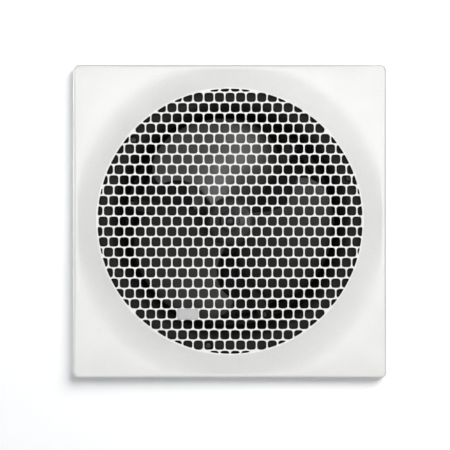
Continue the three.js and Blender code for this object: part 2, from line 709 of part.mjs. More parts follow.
function damper() {
  const painted = ['#262729', 0.5, 0.2];
  const steel = ['#c9cbcd', 0.3, 1];
  const group = new THREE.Group();
  const right = flap([-76, 36, 60]);
  const left = flap([-60, -36, 76]).rotate([0, 0, 180]).translate([0, 2 * DAMPER_Y, 0]);
  const fixing = screw(3.2, 1.9, 1.6, 7).rotate([0, 0, 90]).translate([DRUM_R + 4.9, 0, 0]);
  group.add(
    mesh('outlet_spigot', spigot(), ['#2b2c2e', 0.5, 0]),
    mesh('damper_pin', rodAlongZ(1.5, -94.8, 94.8, 10), steel, DAMPER_Y),
    mesh('damper_flap_right', right, painted),
    mesh('damper_flap_left', left, painted),
    mesh('damper_spring_upper', damperSpring().translate([0, 0, 12]), steel, DAMPER_Y),
    mesh('damper_spring_lower', damperSpring().translate([0, 0, -12]), steel, DAMPER_Y),
  );
  SPIGOT_SCREW_ANGLES.forEach((angle, i) => {
    group.add(arm(angle, mesh(`spigot_screw_${i + 1}`, fixing, steel, DRUM_END_Y - 5)));
  });
  return group;
}

// Clamp jaw, stowed: its arm follows the drum, and swings outwards about the screw.
function clampJaw() {
  const body = join(rod(6.3, 0, 12, 12), box(-4.2, 3.6, 0, 5, 0, 23), box(-1.5, 1.5, 4, 10, 4, 18));
  return cut(body, rod(4.9, -1, 13, 12));
}

function clampNut() {
  return cut(rod(4.4, 0, 11, 12), rod(2.5, -1, 12, 10));
}

function clamp(angle, number) {
  const zinc = ['#8f8a70', 0.4, 0.9];
  const place = [CLAMP_R, 0, 0];
  const jawY = LUG_Y - 13;
  return arm(
    angle,
    mesh(`clamp_screw_${number}`, screw(4, 2.4, 2.1, 76).translate(place), ['#2e2f31', 0.45, 0.8], -7.4),
    mesh(`clamp_nut_${number}`, clampNut().translate(place), ['#a98b4e', 0.4, 1], jawY + 0.5),
    mesh(`clamp_jaw_${number}`, clampJaw().translate(place), zinc, jawY),
  );
}

const fan = new THREE.Group();
fan.position.y = -(SPIGOT_END_Y + RIM_Y - BADGE_PROUD) / 2;
const white = ['#eeeeec', 0.35, 0];
fan.add(
  mesh('fascia', fascia(), white),
  mesh('grille', grille(), white),
  mesh('badge_plate', badge(), ['#d2d2d0', 0.3, 0]),
  mesh('housing', housing(), ['#2f302e', 0.5, 0]),
  mesh('wall_gasket', wallGasket(), ['#3a3a3a', 0.95, 0]),
  carrier(),
  motor(),
  rotor(),
  electrics(),
  damper(),
  ...CLAMP_ANGLES.map((angle, i) => clamp(angle, i + 1)),
);

const part = new THREE.Group();
part.add(fan);

export default part;
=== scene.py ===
"""Bathroom extractor fan: the finished looks of every piece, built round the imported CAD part.

Shapes are made in millimetres. As in the CAD part, y is counted from the wall plane that the fan is clamped
to, the room is towards -y, and angles round the fan's axis run from +x towards +z. Sizes are read from the
boxes of the CAD nodes, or are details of the shape itself.
"""

import json
from math import acos, atan2, ceil, cos, degrees, hypot, pi, radians, sin, sqrt, tan

import bmesh
import bpy
import numpy as np
from mathutils import Matrix, Vector
from mathutils.geometry import delaunay_2d_cdt


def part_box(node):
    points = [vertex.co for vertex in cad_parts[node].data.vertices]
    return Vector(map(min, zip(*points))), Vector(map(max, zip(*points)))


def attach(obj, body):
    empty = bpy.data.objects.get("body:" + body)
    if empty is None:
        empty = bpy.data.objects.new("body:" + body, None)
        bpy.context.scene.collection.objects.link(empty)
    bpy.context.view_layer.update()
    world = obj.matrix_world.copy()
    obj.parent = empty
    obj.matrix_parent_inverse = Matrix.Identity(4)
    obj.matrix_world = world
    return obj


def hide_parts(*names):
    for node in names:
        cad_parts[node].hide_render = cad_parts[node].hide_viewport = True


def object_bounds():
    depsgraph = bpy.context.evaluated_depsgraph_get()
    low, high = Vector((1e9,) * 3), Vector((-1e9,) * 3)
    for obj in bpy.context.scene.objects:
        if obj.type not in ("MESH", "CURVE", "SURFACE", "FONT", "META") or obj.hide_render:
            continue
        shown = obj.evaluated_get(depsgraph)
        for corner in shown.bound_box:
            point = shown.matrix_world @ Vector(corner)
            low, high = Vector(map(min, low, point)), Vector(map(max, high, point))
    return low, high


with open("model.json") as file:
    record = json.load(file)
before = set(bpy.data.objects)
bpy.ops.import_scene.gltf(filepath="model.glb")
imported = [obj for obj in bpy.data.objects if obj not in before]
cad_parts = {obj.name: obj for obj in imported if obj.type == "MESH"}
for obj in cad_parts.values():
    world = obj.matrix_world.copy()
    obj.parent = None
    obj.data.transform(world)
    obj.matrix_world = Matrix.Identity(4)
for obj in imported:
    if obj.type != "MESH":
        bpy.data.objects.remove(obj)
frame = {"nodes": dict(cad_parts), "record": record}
CAD_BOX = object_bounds()
MM = 0.001
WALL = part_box("wall_gasket")[1].y
TO_FRAME = Matrix.Translation((0, WALL, 0)) @ Matrix.Scale(MM, 4)
TURN = 2 * pi


def near(node):
    """Lowest and highest corner of a CAD node in millimetres, with y counted from the wall plane."""
    low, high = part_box(node)
    back = TO_FRAME.inverted()
    return back @ low, back @ high


def middle(node):
    low, high = near(node)
    return (low + high) / 2


def angle_of(node):
    """Angle round the fan's axis of a node's middle, in degrees."""
    at = middle(node)
    return degrees(atan2(at.z, at.x))


def radius_of(node):
    at = middle(node)
    return hypot(at.x, at.z)


def shift(x, y, z):
    return Matrix.Translation((x, y, z))


def quarter_turn(steps):
    return [k / steps * pi / 2 for k in range(steps + 1)]


def full_turn(steps):
    return [TURN * k / steps for k in range(steps)]


def arm(angle):
    """Turns a shape made along +x to an angle round the fan's axis."""
    return Matrix.Rotation(-radians(angle), 4, "Y")


def set_up(made, **settings):
    for key, value in settings.items():
        setattr(made, key, value)
    return made


# Materials -------------------------------------


class Shader:
    """A Principled material that is put together node by node."""

    def __init__(self, name, color, roughness, metallic=0.0):
        self.material = bpy.data.materials.new(name)
        self.material.use_nodes = True
        self.tree = self.material.node_tree
        self.surface = self.tree.nodes["Principled BSDF"]
        self.set("Base Color", (*color, 1))
        self.set("Roughness", roughness)
        self.set("Metallic", metallic)
        self.place = self.node("TexCoord").outputs["Object"]
        self.color = (*color, 1)
        self.roughness = roughness
        self.height = None

    def set(self, name, value):
        self.surface.inputs[name].default_value = value

    def node(self, kind, **settings):
        return set_up(self.tree.nodes.new("ShaderNode" + kind), **settings)

    def link(self, source, target):
        if isinstance(source, (int, float)):
            target.default_value = source
        else:
            self.tree.links.new(source, target)

    def math(self, operation, a, b=0.0):
        made = self.node("Math", operation=operation)
        self.link(a, made.inputs[0])
        self.link(b, made.inputs[1])
        return made.outputs[0]

    def texture(self, kind, output, inputs, place=None, **settings):
        made = self.node(kind, **settings)
        for name, value in inputs.items():
            made.inputs[name].default_value = value
        self.link(place or self.place, made.inputs["Vector"])
        return made.outputs[output]

    def stretched(self, x, y, z):
        return self.texture("Mapping", "Vector", {"Scale": (x, y, z)})

    def noise(self, scale, detail=3.0, place=None):
        """Noise about 0.5, with features about 1/scale metres across."""
        return self.texture("TexNoise", "Fac", {"Scale": scale, "Detail": detail}, place)

    def cells(self, scale):
        return self.texture("TexVoronoi", "Distance", {"Scale": scale})

    def bands(self, scale, direction, distortion):
        inputs = {"Scale": scale, "Distortion": distortion}
        return self.texture("TexWave", "Fac", inputs, wave_type="BANDS", bands_direction=direction)

    def between(self, value, low, high, start, end):
        made = self.node("MapRange")
        for socket, number in zip(made.inputs[1:5], (low, high, start, end)):
            socket.default_value = number
        self.link(value, made.inputs["Value"])
        return made.outputs[0]

    def tint(self, other, share):
        """Mixes another colour into the base colour by a share from 0 to 1."""
        made = self.node("Mix", data_type="RGBA")
        self.link(share, made.inputs["Factor"])
        base = self.surface.inputs["Base Color"]
        if base.is_linked:
            self.link(base.links[0].from_socket, made.inputs[6])
        else:
            made.inputs[6].default_value = self.color
        made.inputs[7].default_value = (*other, 1)
        self.link(made.outputs[2], base)

    def rough(self, value, spread):
        """Varies the roughness round its mean by a noise value."""
        span = self.between(value, 0.3, 0.7, self.roughness - spread, self.roughness + spread)
        self.link(span, self.surface.inputs["Roughness"])

    def bump(self, value, depth):
        """Adds relief of a depth in millimetres."""
        made = self.node("Bump")
        made.inputs["Strength"].default_value = 1.0
        made.inputs["Distance"].default_value = depth * MM
        self.link(value, made.inputs["Height"])
        if self.height is not None:
            self.link(self.height, made.inputs["Normal"])
        self.height = made.outputs[0]
        self.link(self.height, self.surface.inputs["Normal"])

    def dust(self, color, amount):
        """Dust that has settled on faces turned upwards, in patches."""
        normal = self.node("NewGeometry").outputs["Normal"]
        split = self.node("SeparateXYZ")
        self.link(normal, split.inputs[0])
        upward = self.between(split.outputs["Z"], 0.2, 1.0, 0.0, 1.0)
        patches = self.between(self.noise(90, 5), 0.35, 0.7, 0.2, 1.0)
        share = self.math("MULTIPLY", self.math("MULTIPLY", upward, patches), amount)
        self.tint(color, share)


def shade(color, share, lift=0.0):
    return [min(1, c * share + lift) for c in color]


def moulded(name, color, roughness, grain, dusty=0.0, coat=0.0, shine=0.5):
    """Injection-moulded plastic: faint flow marks, spark-eroded grain and slightly uneven gloss."""
    s = Shader(name, color, roughness)
    flow = s.noise(22, 4)
    s.tint(shade(color, 0.93), s.between(flow, 0.4, 0.65, 0.0, 0.5))
    s.tint(shade(color, 1.05, 0.002), s.between(s.noise(420, 3), 0.5, 0.75, 0.0, 0.5))
    s.rough(s.noise(60, 5), 0.05)
    s.bump(s.noise(1500, 3), grain)
    s.bump(s.noise(35, 2), grain * 1.5)
    if dusty:
        s.dust([0.16, 0.155, 0.145], dusty)
    s.set("Specular IOR Level", shine)
    s.set("Coat Weight", coat)
    s.set("Coat Roughness", 0.2)
    return s.material


def plated(name, color, roughness):
    """Zinc-plated or turned metal: fine turning marks, cloudy gloss and a few dull spots."""
    s = Shader(name, color, roughness, 1.0)
    s.tint(shade(color, 0.7), s.between(s.noise(300, 4), 0.5, 0.75, 0.0, 0.7))
    s.tint(shade(color, 0.55), s.between(s.cells(900), 0.0, 0.12, 0.5, 0.0))
    s.rough(s.noise(500, 4), 0.1)
    s.bump(s.noise(2500, 2, s.stretched(1, 12, 1)), 0.006)
    return s.material


SHEET = 0.55


def laminated(name, color):
    """Stacked steel sheets seen as fine lines along the stack, under dark varnish."""
    s = Shader(name, color, 0.5, 0.5)
    sheets = s.bands(314 / SHEET, "Y", 0.3)
    s.tint(shade(color, 0.35), s.between(sheets, 0.55, 0.95, 0.0, 0.8))
    s.tint([0.07, 0.035, 0.018], s.between(s.noise(130, 5), 0.5, 0.8, 0.0, 0.6))
    s.rough(s.noise(220, 4), 0.1)
    s.bump(sheets, 0.05)
    s.bump(s.noise(1200, 3), 0.01)
    return s.material


def cast(name, color):
    """Die-cast zinc with a fine flaky skin."""
    s = Shader(name, color, 0.45, 0.9)
    s.tint(shade(color, 0.6), s.between(s.noise(180, 6), 0.45, 0.7, 0.0, 0.8))
    s.rough(s.noise(400, 4), 0.12)
    s.bump(s.cells(1100), 0.02)
    s.bump(s.noise(250, 4), 0.02)
    return s.material


def wound(name, color):
    """Enamelled copper wire, with the enamel darker where it was varnished."""
    s = Shader(name, color, 0.28, 0.85)
    s.tint([0.24, 0.07, 0.025], s.between(s.noise(120, 4), 0.42, 0.7, 0.0, 0.8))
    s.rough(s.noise(300, 3), 0.08)
    s.bump(s.noise(1600, 2), 0.01)
    s.set("Coat Weight", 0.5)
    return s.material


def rubbery(name, color, roughness, pore, depth):
    """Rubber or foam, with pores of a given density."""
    s = Shader(name, color, roughness)
    s.tint(shade(color, 2.2, 0.01), s.between(s.noise(160, 5), 0.45, 0.75, 0.0, 0.6))
    s.tint(shade(color, 0.4), s.between(s.cells(pore), 0.0, 0.35, 0.7, 0.0))
    s.rough(s.noise(200, 3), 0.06)
    s.bump(s.cells(pore), depth)
    return s.material


def painted(name, color):
    """Thin rolled sheet under matt paint: fine lines along the sheet, dust and a few pale scratches."""
    s = Shader(name, color, 0.55)
    s.set("Specular IOR Level", 0.15)
    lines = s.noise(700, 3, s.stretched(1, 1, 0.02))
    s.tint(shade(color, 1.5), s.between(s.noise(28, 5), 0.45, 0.7, 0.0, 0.7))
    scratches = s.noise(300, 2, s.stretched(0.05, 1, 1.6))
    s.tint([0.06, 0.06, 0.062], s.between(scratches, 0.72, 0.76, 0.0, 0.4))
    s.rough(s.noise(90, 5), 0.08)
    s.bump(lines, 0.02)
    s.bump(s.noise(1800, 2), 0.008)
    s.dust([0.12, 0.115, 0.11], 0.3)
    return s.material


LOOKS = {
    "white_gloss": (moulded, (0.79, 0.78, 0.757), 0.36, 0.004, 0.0, 0.15),
    "badge_grey": (moulded, (0.42, 0.42, 0.41), 0.34, 0.003, 0.0, 0.2),
    "charcoal_plastic": (moulded, (0.016, 0.016, 0.0148), 0.52, 0.02, 0.1, 0.0, 0.12),
    "fan_plastic": (moulded, (0.0175, 0.0163, 0.0158), 0.38, 0.012, 0.12, 0.0, 0.17),
    "foam": (rubbery, (0.045, 0.045, 0.045), 0.95, 800, 0.25),
    "rubber": (rubbery, (0.014, 0.014, 0.014), 0.7, 1400, 0.02),
    "lamination_steel": (laminated, (0.05, 0.047, 0.044)),
    "cast_zinc": (cast, (0.50, 0.51, 0.52)),
    "bright_steel": (plated, (0.66, 0.67, 0.68), 0.3),
    "black_steel": (plated, (0.035, 0.035, 0.038), 0.4),
    "copper": (wound, (0.62, 0.24, 0.10)),
    "bronze": (plated, (0.45, 0.28, 0.12), 0.5),
    "brass": (plated, (0.62, 0.43, 0.17), 0.35),
    "natural_nylon": (moulded, (0.70, 0.66, 0.55), 0.45, 0.008),
    "cable_grey": (moulded, (0.60, 0.60, 0.58), 0.55, 0.02),
    "damper_paint": (painted, (0.022, 0.022, 0.024)),
}
MATERIALS = {name: maker(name, *values) for name, (maker, *values) in LOOKS.items()}
SLOT_OF = {part["node"]: part["material_slot"] for part in frame["record"]["subparts"]}
BODY_OF = {node: body for body, nodes in frame["record"]["behaviour"]["bodies"].items() for node in nodes}


# Shapes ----------------------------------------


def shape(points, faces):
    """A mesh of points in millimetres, with its faces turned outwards."""
    made = bpy.data.meshes.new("shape")
    made.from_pydata([tuple(p) for p in points], [], faces)
    work = bmesh.new()
    work.from_mesh(made)
    bmesh.ops.remove_doubles(work, verts=work.verts, dist=1e-4)
    bmesh.ops.dissolve_degenerate(work, edges=work.edges, dist=1e-5)
    bmesh.ops.recalc_face_normals(work, faces=work.faces)
    work.to_mesh(made)
    work.free()
    return made


def moved(made, matrix):
    copy = made.copy()
    copy.transform(matrix)
    return copy


def around(angles, *shapes):
    """Copies of shapes made along +x, at each of several angles round the fan's axis."""
    return [moved(made, arm(angle)) for angle in angles for made in shapes]


def in_scene(name, data):
    obj = bpy.data.objects.new(name, data)
    bpy.context.scene.collection.objects.link(obj)
    return obj


def combined(base, others, operation):
    """Joins or cuts closed meshes."""
    subject = in_scene("subject", base)
    tools = [in_scene("tool", other) for other in others]
    for tool in tools:
        set_up(subject.modifiers.new("step", "BOOLEAN"), operation=operation, solver="MANIFOLD", object=tool)
    bpy.context.view_layer.update()
    graph = bpy.context.evaluated_depsgraph_get()
    out = bpy.data.meshes.new_from_object(subject.evaluated_get(graph))
    for made in [subject, *tools]:
        bpy.data.objects.remove(made)
    return out


def joined(base, *others):
    return combined(base, others, "UNION")


def cut(base, *others):
    return combined(base, others, "DIFFERENCE")


def rings_to_shape(rings, closed_ends=True, loop=False):
    """Skins closed rings of equal length. With loop, the last ring meets the first."""
    count = len(rings[0])
    points = [p for ring in rings for p in ring]
    faces = []
    for i in range(len(rings) if loop else len(rings) - 1):
        a, b = i * count, (i + 1) % len(rings) * count
        for j in range(count):
            k = (j + 1) % count
            faces.append((a + j, a + k, b + k, b + j))
    if closed_ends and not loop:
        faces.append(tuple(range(count)))
        faces.append(tuple(range(len(points) - count, len(points))))
    return shape(points, faces)


def turned(profile, segments=96):
    """A closed profile of (radius, y) turned about the fan's axis. Points on the axis close the shape."""
    rings = [[(r * cos(a), y, r * sin(a)) for r, y in profile] for a in full_turn(segments)]
    return rings_to_shape(rings, loop=True)


def rounded(profile, r, steps=4):
    """Rounds the corners of a closed profile to a radius, less where an edge is too short."""
    out = []
    count = len(profile)
    for i, corner in enumerate(profile):
        here = Vector(corner)
        before, after = Vector(profile[i - 1]) - here, Vector(profile[(i + 1) % count]) - here
        reach = min(r, before.length * 0.45, after.length * 0.45)
        before, after = before.normalized(), after.normalized()
        straight = abs(before.dot(after)) > 0.999
        if straight or here.x < 1e-6 or reach < 1e-3:
            out.append(tuple(here))
            continue
        start, end = here + before * reach, here + after * reach
        for k in range(steps + 1):
            t = k / steps
            out.append(tuple(start * (1 - t) ** 2 + here * 2 * t * (1 - t) + end * t * t))
    return out


def outline_box(width, height, r, steps=5):
    """Outline of a rounded rectangle round the origin, anticlockwise."""
    points = []
    for quarter, (sx, sy) in enumerate([(1, 1), (-1, 1), (-1, -1), (1, -1)]):
        for k in range(steps + 1):
            a = TURN * (quarter + k / steps) / 4
            points.append((sx * (width / 2 - r) + r * cos(a), sy * (height / 2 - r) + r * sin(a)))
    return points


def outline_round(r, count=32, x=0.0, z=0.0):
    return [(x + r * cos(a), z + r * sin(a)) for a in full_turn(count)]


def slab(outline, y0, y1, soft=0.3, steps=3):
    """A flat outline in x and z, made thick along y, with its edges rounded over."""
    count = len(outline)
    inward = []
    for i in range(count):
        a, b, c = (Vector(outline[j % count]) for j in (i - 1, i, i + 1))
        onward = (c - b).normalized()
        along = (b - a).normalized() + onward
        along = along.normalized() if along.length > 1e-6 else onward
        bend = max(0.35, abs(along.dot(onward)))
        inward.append(Vector((-along.y, along.x)) / bend)
    levels = [(soft * (1 - sin(t)), y0 + soft * (1 - cos(t))) for t in quarter_turn(steps)]
    levels += [(soft * (1 - cos(t)), y1 - soft * (1 - sin(t))) for t in quarter_turn(steps)]
    rings = []
    for inset, y in levels:
        rings.append([(p[0] + n.x * inset, y, p[1] + n.y * inset) for p, n in zip(outline, inward)])
    return rings_to_shape(rings)


def block(x0, x1, y0, y1, z0, z1, soft=0.3, corner=None):
    """A box with rounded edges."""
    corner = corner if corner is not None else soft
    made = slab(outline_box(x1 - x0, z1 - z0, max(corner, 0.02), 4), y0, y1, soft)
    return moved(made, shift((x0 + x1) / 2, 0, (z0 + z1) / 2))


def rod(r, y0, y1, x=0.0, z=0.0, count=32, soft=0.2):
    return slab(outline_round(r, count, x, z), y0, y1, soft)


def across(made, y, z=0.0):
    """Lays a shape made along y along +x, at a place on the drum's side."""
    return moved(made, shift(0, y, z) @ Matrix.Rotation(-pi / 2, 4, "Z"))


def sleeve(node, bore, soft, segments):
    """A plain ring as long and as wide as a CAD node, round a bore."""
    low, high = near(node)
    profile = [(bore, low.y), (high.x, low.y), (high.x, high.y), (bore, high.y)]
    return turned(rounded(profile, soft), segments)


def tube(path, r, sides=10):
    """A round wire along a path of points."""
    path = [Vector(p) for p in path]
    rings = []
    side = None
    for i, p in enumerate(path):
        along = (path[min(i + 1, len(path) - 1)] - path[max(i - 1, 0)]).normalized()
        if side is None:
            side = along.orthogonal().normalized()
        side = (side - along * side.dot(along)).normalized()
        other = along.cross(side)
        rings.append([p + side * x + other * y for x, y in outline_round(r, sides)])
    return rings_to_shape(rings)


def smooth_path(points, steps=8):
    """Catmull-Rom curve through points."""
    points = [Vector(p) for p in points]
    padded = [2 * points[0] - points[1], *points, 2 * points[-1] - points[-2]]
    out = []
    for i in range(1, len(padded) - 2):
        a, b, c, d = padded[i - 1:i + 3]
        for k in range(steps):
            t = k / steps
            out.append(0.5 * (2 * b + (c - a) * t + (2 * a - 5 * b + 4 * c - d) * t ** 2
                              + (3 * b - a - 3 * c + d) * t ** 3))
    out.append(points[-1])
    return out


def piece(name, made, node, sharp=35):
    """Shows a shape in the place of a CAD node, on the node's body and in its material."""
    slot = SLOT_OF[node]
    placed = moved(made, TO_FRAME)
    placed.shade_smooth()
    placed.set_sharp_from_angle(angle=radians(sharp))
    placed.name = name
    placed.materials.clear()
    placed.materials.append(MATERIALS[slot])
    obj = in_scene(name, placed)
    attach(obj, BODY_OF[node])
    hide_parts(node)
    return obj


def keep_cad(node, width):
    """Shows the CAD node itself in its material, with its sharp edges rounded by a width in millimetres."""
    obj = frame["nodes"][node]
    obj.data.materials.clear()
    obj.data.materials.append(MATERIALS[SLOT_OF[node]])
    set_up(obj.modifiers.new("weld", "WELD"), merge_threshold=2e-6)
    set_up(obj.modifiers.new("flat", "DECIMATE"), decimate_type="DISSOLVE", angle_limit=radians(1))
    set_up(obj.modifiers.new("bevel", "BEVEL"), width=width * MM, segments=2, limit_method="ANGLE",
           angle_limit=radians(40), harden_normals=True)


# Fascia ----------------------------------------

FASCIA = near("fascia")
SIDE = FASCIA[1].x - FASCIA[0].x
RIM_Y = FASCIA[0].y
FASCIA_BACK = FASCIA[1].y
CORNER_Y = RIM_Y + 7
CORNER_R = 5
EDGE_R = 3
RISE = 30
SHELL = 2.5
RIM_R = 123.4
RISE_SHARE = 0.95
SIDE_RISE = RISE_SHARE * (SIDE / 2 - EDGE_R - RIM_R)
PEG_R = 3
PEG_PLACES = [(x, z) for x in (-127, 127) for z in (-127, 127)]


def square_edge():
    """Points round the fascia's edge, close together at its corners."""
    flat = SIDE / 2 - CORNER_R
    side = [Vector((SIDE / 2, SIDE / 2 * tan(a))) for a in np.radians(np.linspace(-43.9, 43.9, 31))]
    side += [Vector((flat + CORNER_R * cos(a), flat + CORNER_R * sin(a))) for a in quarter_turn(6)]
    return [Matrix.Rotation(quarter * TURN / 4, 2) @ p for quarter in range(4) for p in side]


def fascia_front(r, rise):
    """Height of the front: a straight fall towards the middle of a side, a curve towards a corner."""
    fall = 1 - min(max((r - RIM_R) / rise, 0), 1)
    bend = 1 + (rise - SIDE_RISE) / (RISE - SIDE_RISE)
    return CORNER_Y + (RIM_Y - CORNER_Y) * fall ** bend


def fascia_section(reach):
    """Section of the fascia from its rim out to a point of its edge, as (radius, y)."""
    rise = min(RISE, RISE_SHARE * (reach - EDGE_R - RIM_R))
    out = [(RIM_R + rise * t, fascia_front(RIM_R + rise * t, rise)) for t in np.linspace(0, 1, 13)]
    out += [(reach - EDGE_R * (1 - sin(a)), CORNER_Y + EDGE_R * (1 - cos(a))) for a in quarter_turn(6)]
    out += [(reach, CORNER_Y + 6), (reach, FASCIA_BACK - 0.4), (reach - 0.4, FASCIA_BACK)]
    inside = reach - SHELL
    out += [(inside + 0.4, FASCIA_BACK), (inside, FASCIA_BACK - 0.4), (inside, CORNER_Y + SHELL)]
    pocket = RIM_R + 2.2
    for t in (1, 0.7, 0.4):
        r = RIM_R + rise * t
        out.append((min(r, inside - 0.4), fascia_front(r, rise) + SHELL))
    out += [(pocket, fascia_front(pocket, rise) + SHELL), (pocket, RIM_Y + SHELL), (RIM_R, RIM_Y + SHELL)]
    return out


def fascia_shape():
    rings = []
    for p in square_edge():
        reach = p.length
        rings.append([(p.x * r / reach, y, p.y * r / reach) for r, y in fascia_section(reach)])
    pegs = [rod(PEG_R, CORNER_Y + SHELL - 1, -0.6, x, z, 20, 0.6) for x, z in PEG_PLACES]
    return joined(rings_to_shape(rings, loop=True), *pegs)


# Grille ----------------------------------------

GRILLE_R = 122.0
CELL_PITCH = 9.735
ROW_PITCH = 9.505
CELL_WIDTH = 8.5
CELL_HEIGHT = 8.56
CELL_SQUARENESS = 3.7
CELL_POINTS = 20
SMALLEST_CELL = 3.0
EDGE_ROUND = 0.3
DRAFT = 0.15


def in_cell(dx, dz, half_w, half_h):
    return (np.abs(dx / half_w) ** CELL_SQUARENESS + np.abs(dz / half_h) ** CELL_SQUARENESS) < 1


def cell_outline(x, z, grow):
    """Outline of a rounded-square cell, grown outwards and cut by the grille's circle."""
    half_w, half_h = CELL_WIDTH / 2 + grow, CELL_HEIGHT / 2 + grow
    turns = TURN * np.arange(CELL_POINTS) / CELL_POINTS
    if hypot(abs(x) + CELL_WIDTH / 2, abs(z) + CELL_HEIGHT / 2) < GRILLE_R:
        power = 2 / CELL_SQUARENESS
        u, v = (np.copysign(np.abs(w) ** power, w) for w in (np.cos(turns), np.sin(turns)))
        return list(zip(x + half_w * u, z + half_h * v))
    grid = np.linspace(-0.5, 0.5, 25)
    gx, gz = np.meshgrid(grid * CELL_WIDTH, grid * CELL_HEIGHT)
    inside = in_cell(gx, gz, CELL_WIDTH / 2, CELL_HEIGHT / 2) & (np.hypot(x + gx, z + gz) < GRILLE_R)
    if inside.mean() * CELL_WIDTH * CELL_HEIGHT < SMALLEST_CELL:
        return None
    cx, cz = x + gx[inside].mean(), z + gz[inside].mean()
    low, high = np.zeros(CELL_POINTS), np.full(CELL_POINTS, 12.0)
    for _ in range(30):
        reach = (low + high) / 2
        px, pz = cx + reach * np.cos(turns), cz + reach * np.sin(turns)
        ok = in_cell(px - x, pz - z, half_w, half_h) & (np.hypot(px, pz) < GRILLE_R + grow)
        low, high = np.where(ok, reach, low), np.where(ok, high, reach)
    return list(zip(cx + low * np.cos(turns), cz + low * np.sin(turns)))


def grille_cells():
    cells = []
    rows = ceil(GRILLE_R / ROW_PITCH)
    columns = ceil(GRILLE_R / CELL_PITCH)
    for row in range(-rows, rows + 1):
        aside = CELL_PITCH / 2 if row % 2 else 0
        for column in range(-columns - 1, columns + 1):
            x, z = column * CELL_PITCH + aside, row * ROW_PITCH
            if hypot(x, z) < GRILLE_R + CELL_WIDTH / 2 and cell_outline(x, z, 0):
                cells.append((x, z))
    return cells


def pierced_face(loops):
    """Triangles of a flat face between its rim and its holes, as indices into their points."""
    points, edges, owner = [], [], []
    for number, loop in enumerate(loops):
        start = len(points)
        points += [Vector(p) for p in loop]
        owner += [number] * len(loop)
        edges += [(start + k, start + (k + 1) % len(loop)) for k in range(len(loop))]
    _, _, faces, source, _, _ = delaunay_2d_cdt(points, edges, [], 0, 1e-5)
    out = []
    for face in faces:
        ids = [source[v][0] for v in face]
        owners = {owner[v] for v in ids}
        if len(owners) > 1 or owners == {0}:
            out.append(ids)
    return out


def grille_shape():
    """Flat pierced disc. Each bar is rounded over on the room side and straight-sided behind."""
    low, high = near("grille")
    front, back = low.y, high.y
    seat_y, seat_r = RIM_Y + SHELL + 0.1, high.x
    levels = [(EDGE_ROUND * (1 - sin(t)), front + EDGE_ROUND * (1 - cos(t))) for t in quarter_turn(4)]
    levels += [(DRAFT, back - 0.1), (DRAFT + 0.1, back)]
    rims = [(outline_round(r, 160), y) for r, y in (
        (RIM_R - 0.05, front), (RIM_R - 0.05, seat_y), (seat_r, seat_y), (seat_r, back),
    )]
    walls = [rims]
    for x, z in grille_cells():
        walls.append([(cell_outline(x, z, grow), y) for grow, y in levels])
    points, faces, fronts, backs = [], [], [], []
    for wall in walls:
        count = len(wall[0][0])
        start = len(points)
        points += [(p[0], y, p[1]) for loop, y in wall for p in loop]
        for a in range(start, len(points) - count, count):
            for k in range(count):
                after = (k + 1) % count
                faces.append((a + k, a + after, a + count + after, a + count + k))
        fronts.append((wall[0][0], start))
        backs.append((wall[-1][0], len(points) - count))
    for ends in (fronts, backs):
        places = [start + k for loop, start in ends for k in range(len(loop))]
        for ids in pierced_face([loop for loop, _ in ends]):
            faces.append(tuple(places[i] for i in ids))
    return shape(points, faces)


def badge_shape():
    """Blank badge: a slightly domed plate with a fine raised border."""
    low, high = near("badge_plate")
    width, height = high.x - low.x, high.z - low.z
    plate = slab(outline_box(width, height, 1.4, 6), low.y + 0.12, high.y, 0.3)
    border = cut(
        slab(outline_box(width - 0.9, height - 0.9, 1.0, 6), low.y, low.y + 0.5, 0.06),
        slab(outline_box(width - 1.8, height - 1.8, 0.7, 6), low.y - 1, low.y + 1, 0.0),
    )
    at = middle("badge_plate")
    return moved(joined(plate, border), shift(at.x, 0, at.z))


piece("front_panel", fascia_shape(), "fascia", sharp=28)
piece("front_grille", grille_shape(), "grille", sharp=50)
piece("blank_badge", badge_shape(), "badge_plate")


# Housing ---------------------------------------

FLANGE_SIDE = near("housing")[1].x - near("housing")[0].x
FLANGE_FRONT, FLANGE_BACK = -4.7, -1.7
BELL_R, BELL_DEPTH, THROAT_R, DRUM_R = 113, 14, 103, 106
DRUM_END = near("housing")[1].y
ARM_FOOT_R = radius_of("carrier_screw_1")
ARM_ANGLES = [angle_of(f"carrier_screw_{i}") for i in (1, 2, 3)]
ARM_Y = near("motor_carrier")[0].y
CLAMP_ANGLES = [angle_of(f"clamp_screw_{i}") for i in (1, 2, 3)]
CLAMP_R = radius_of("clamp_screw_1")
LUG_Y = near("clamp_jaw_1")[1].y + 1
BOX_ANGLE = angle_of("terminal_cover")
LEAD_Y = middle("lead_grommet").y
SPIGOT_SCREW_Y = middle("spigot_screw_1").y
SPIGOT_SCREW_ANGLES = [angle_of(f"spigot_screw_{i}") for i in (1, 2, 3)]


def drum_shape():
    bell_y = FLANGE_FRONT + BELL_DEPTH
    outer_depth = BELL_DEPTH - (DRUM_R - THROAT_R)
    turns = quarter_turn(9)
    profile = [(BELL_R - (BELL_R - THROAT_R) * sin(t), bell_y - BELL_DEPTH * cos(t)) for t in turns]
    profile += [(THROAT_R, DRUM_END - 0.6), (THROAT_R + 0.6, DRUM_END), (DRUM_R - 0.6, DRUM_END)]
    profile.append((DRUM_R, DRUM_END - 0.6))
    profile += [(BELL_R - (BELL_R - DRUM_R) * sin(t), bell_y - outer_depth * cos(t)) for t in turns[:0:-1]]
    profile += [(BELL_R, FLANGE_BACK), (BELL_R + 3, FLANGE_BACK), (BELL_R + 3, FLANGE_FRONT)]
    return turned(profile, 128)


def drum_hole(r, inner, outer, count, y):
    """Cutter for a hole through the drum's side."""
    return across(rod(r, inner, outer, count=count, soft=0), y)


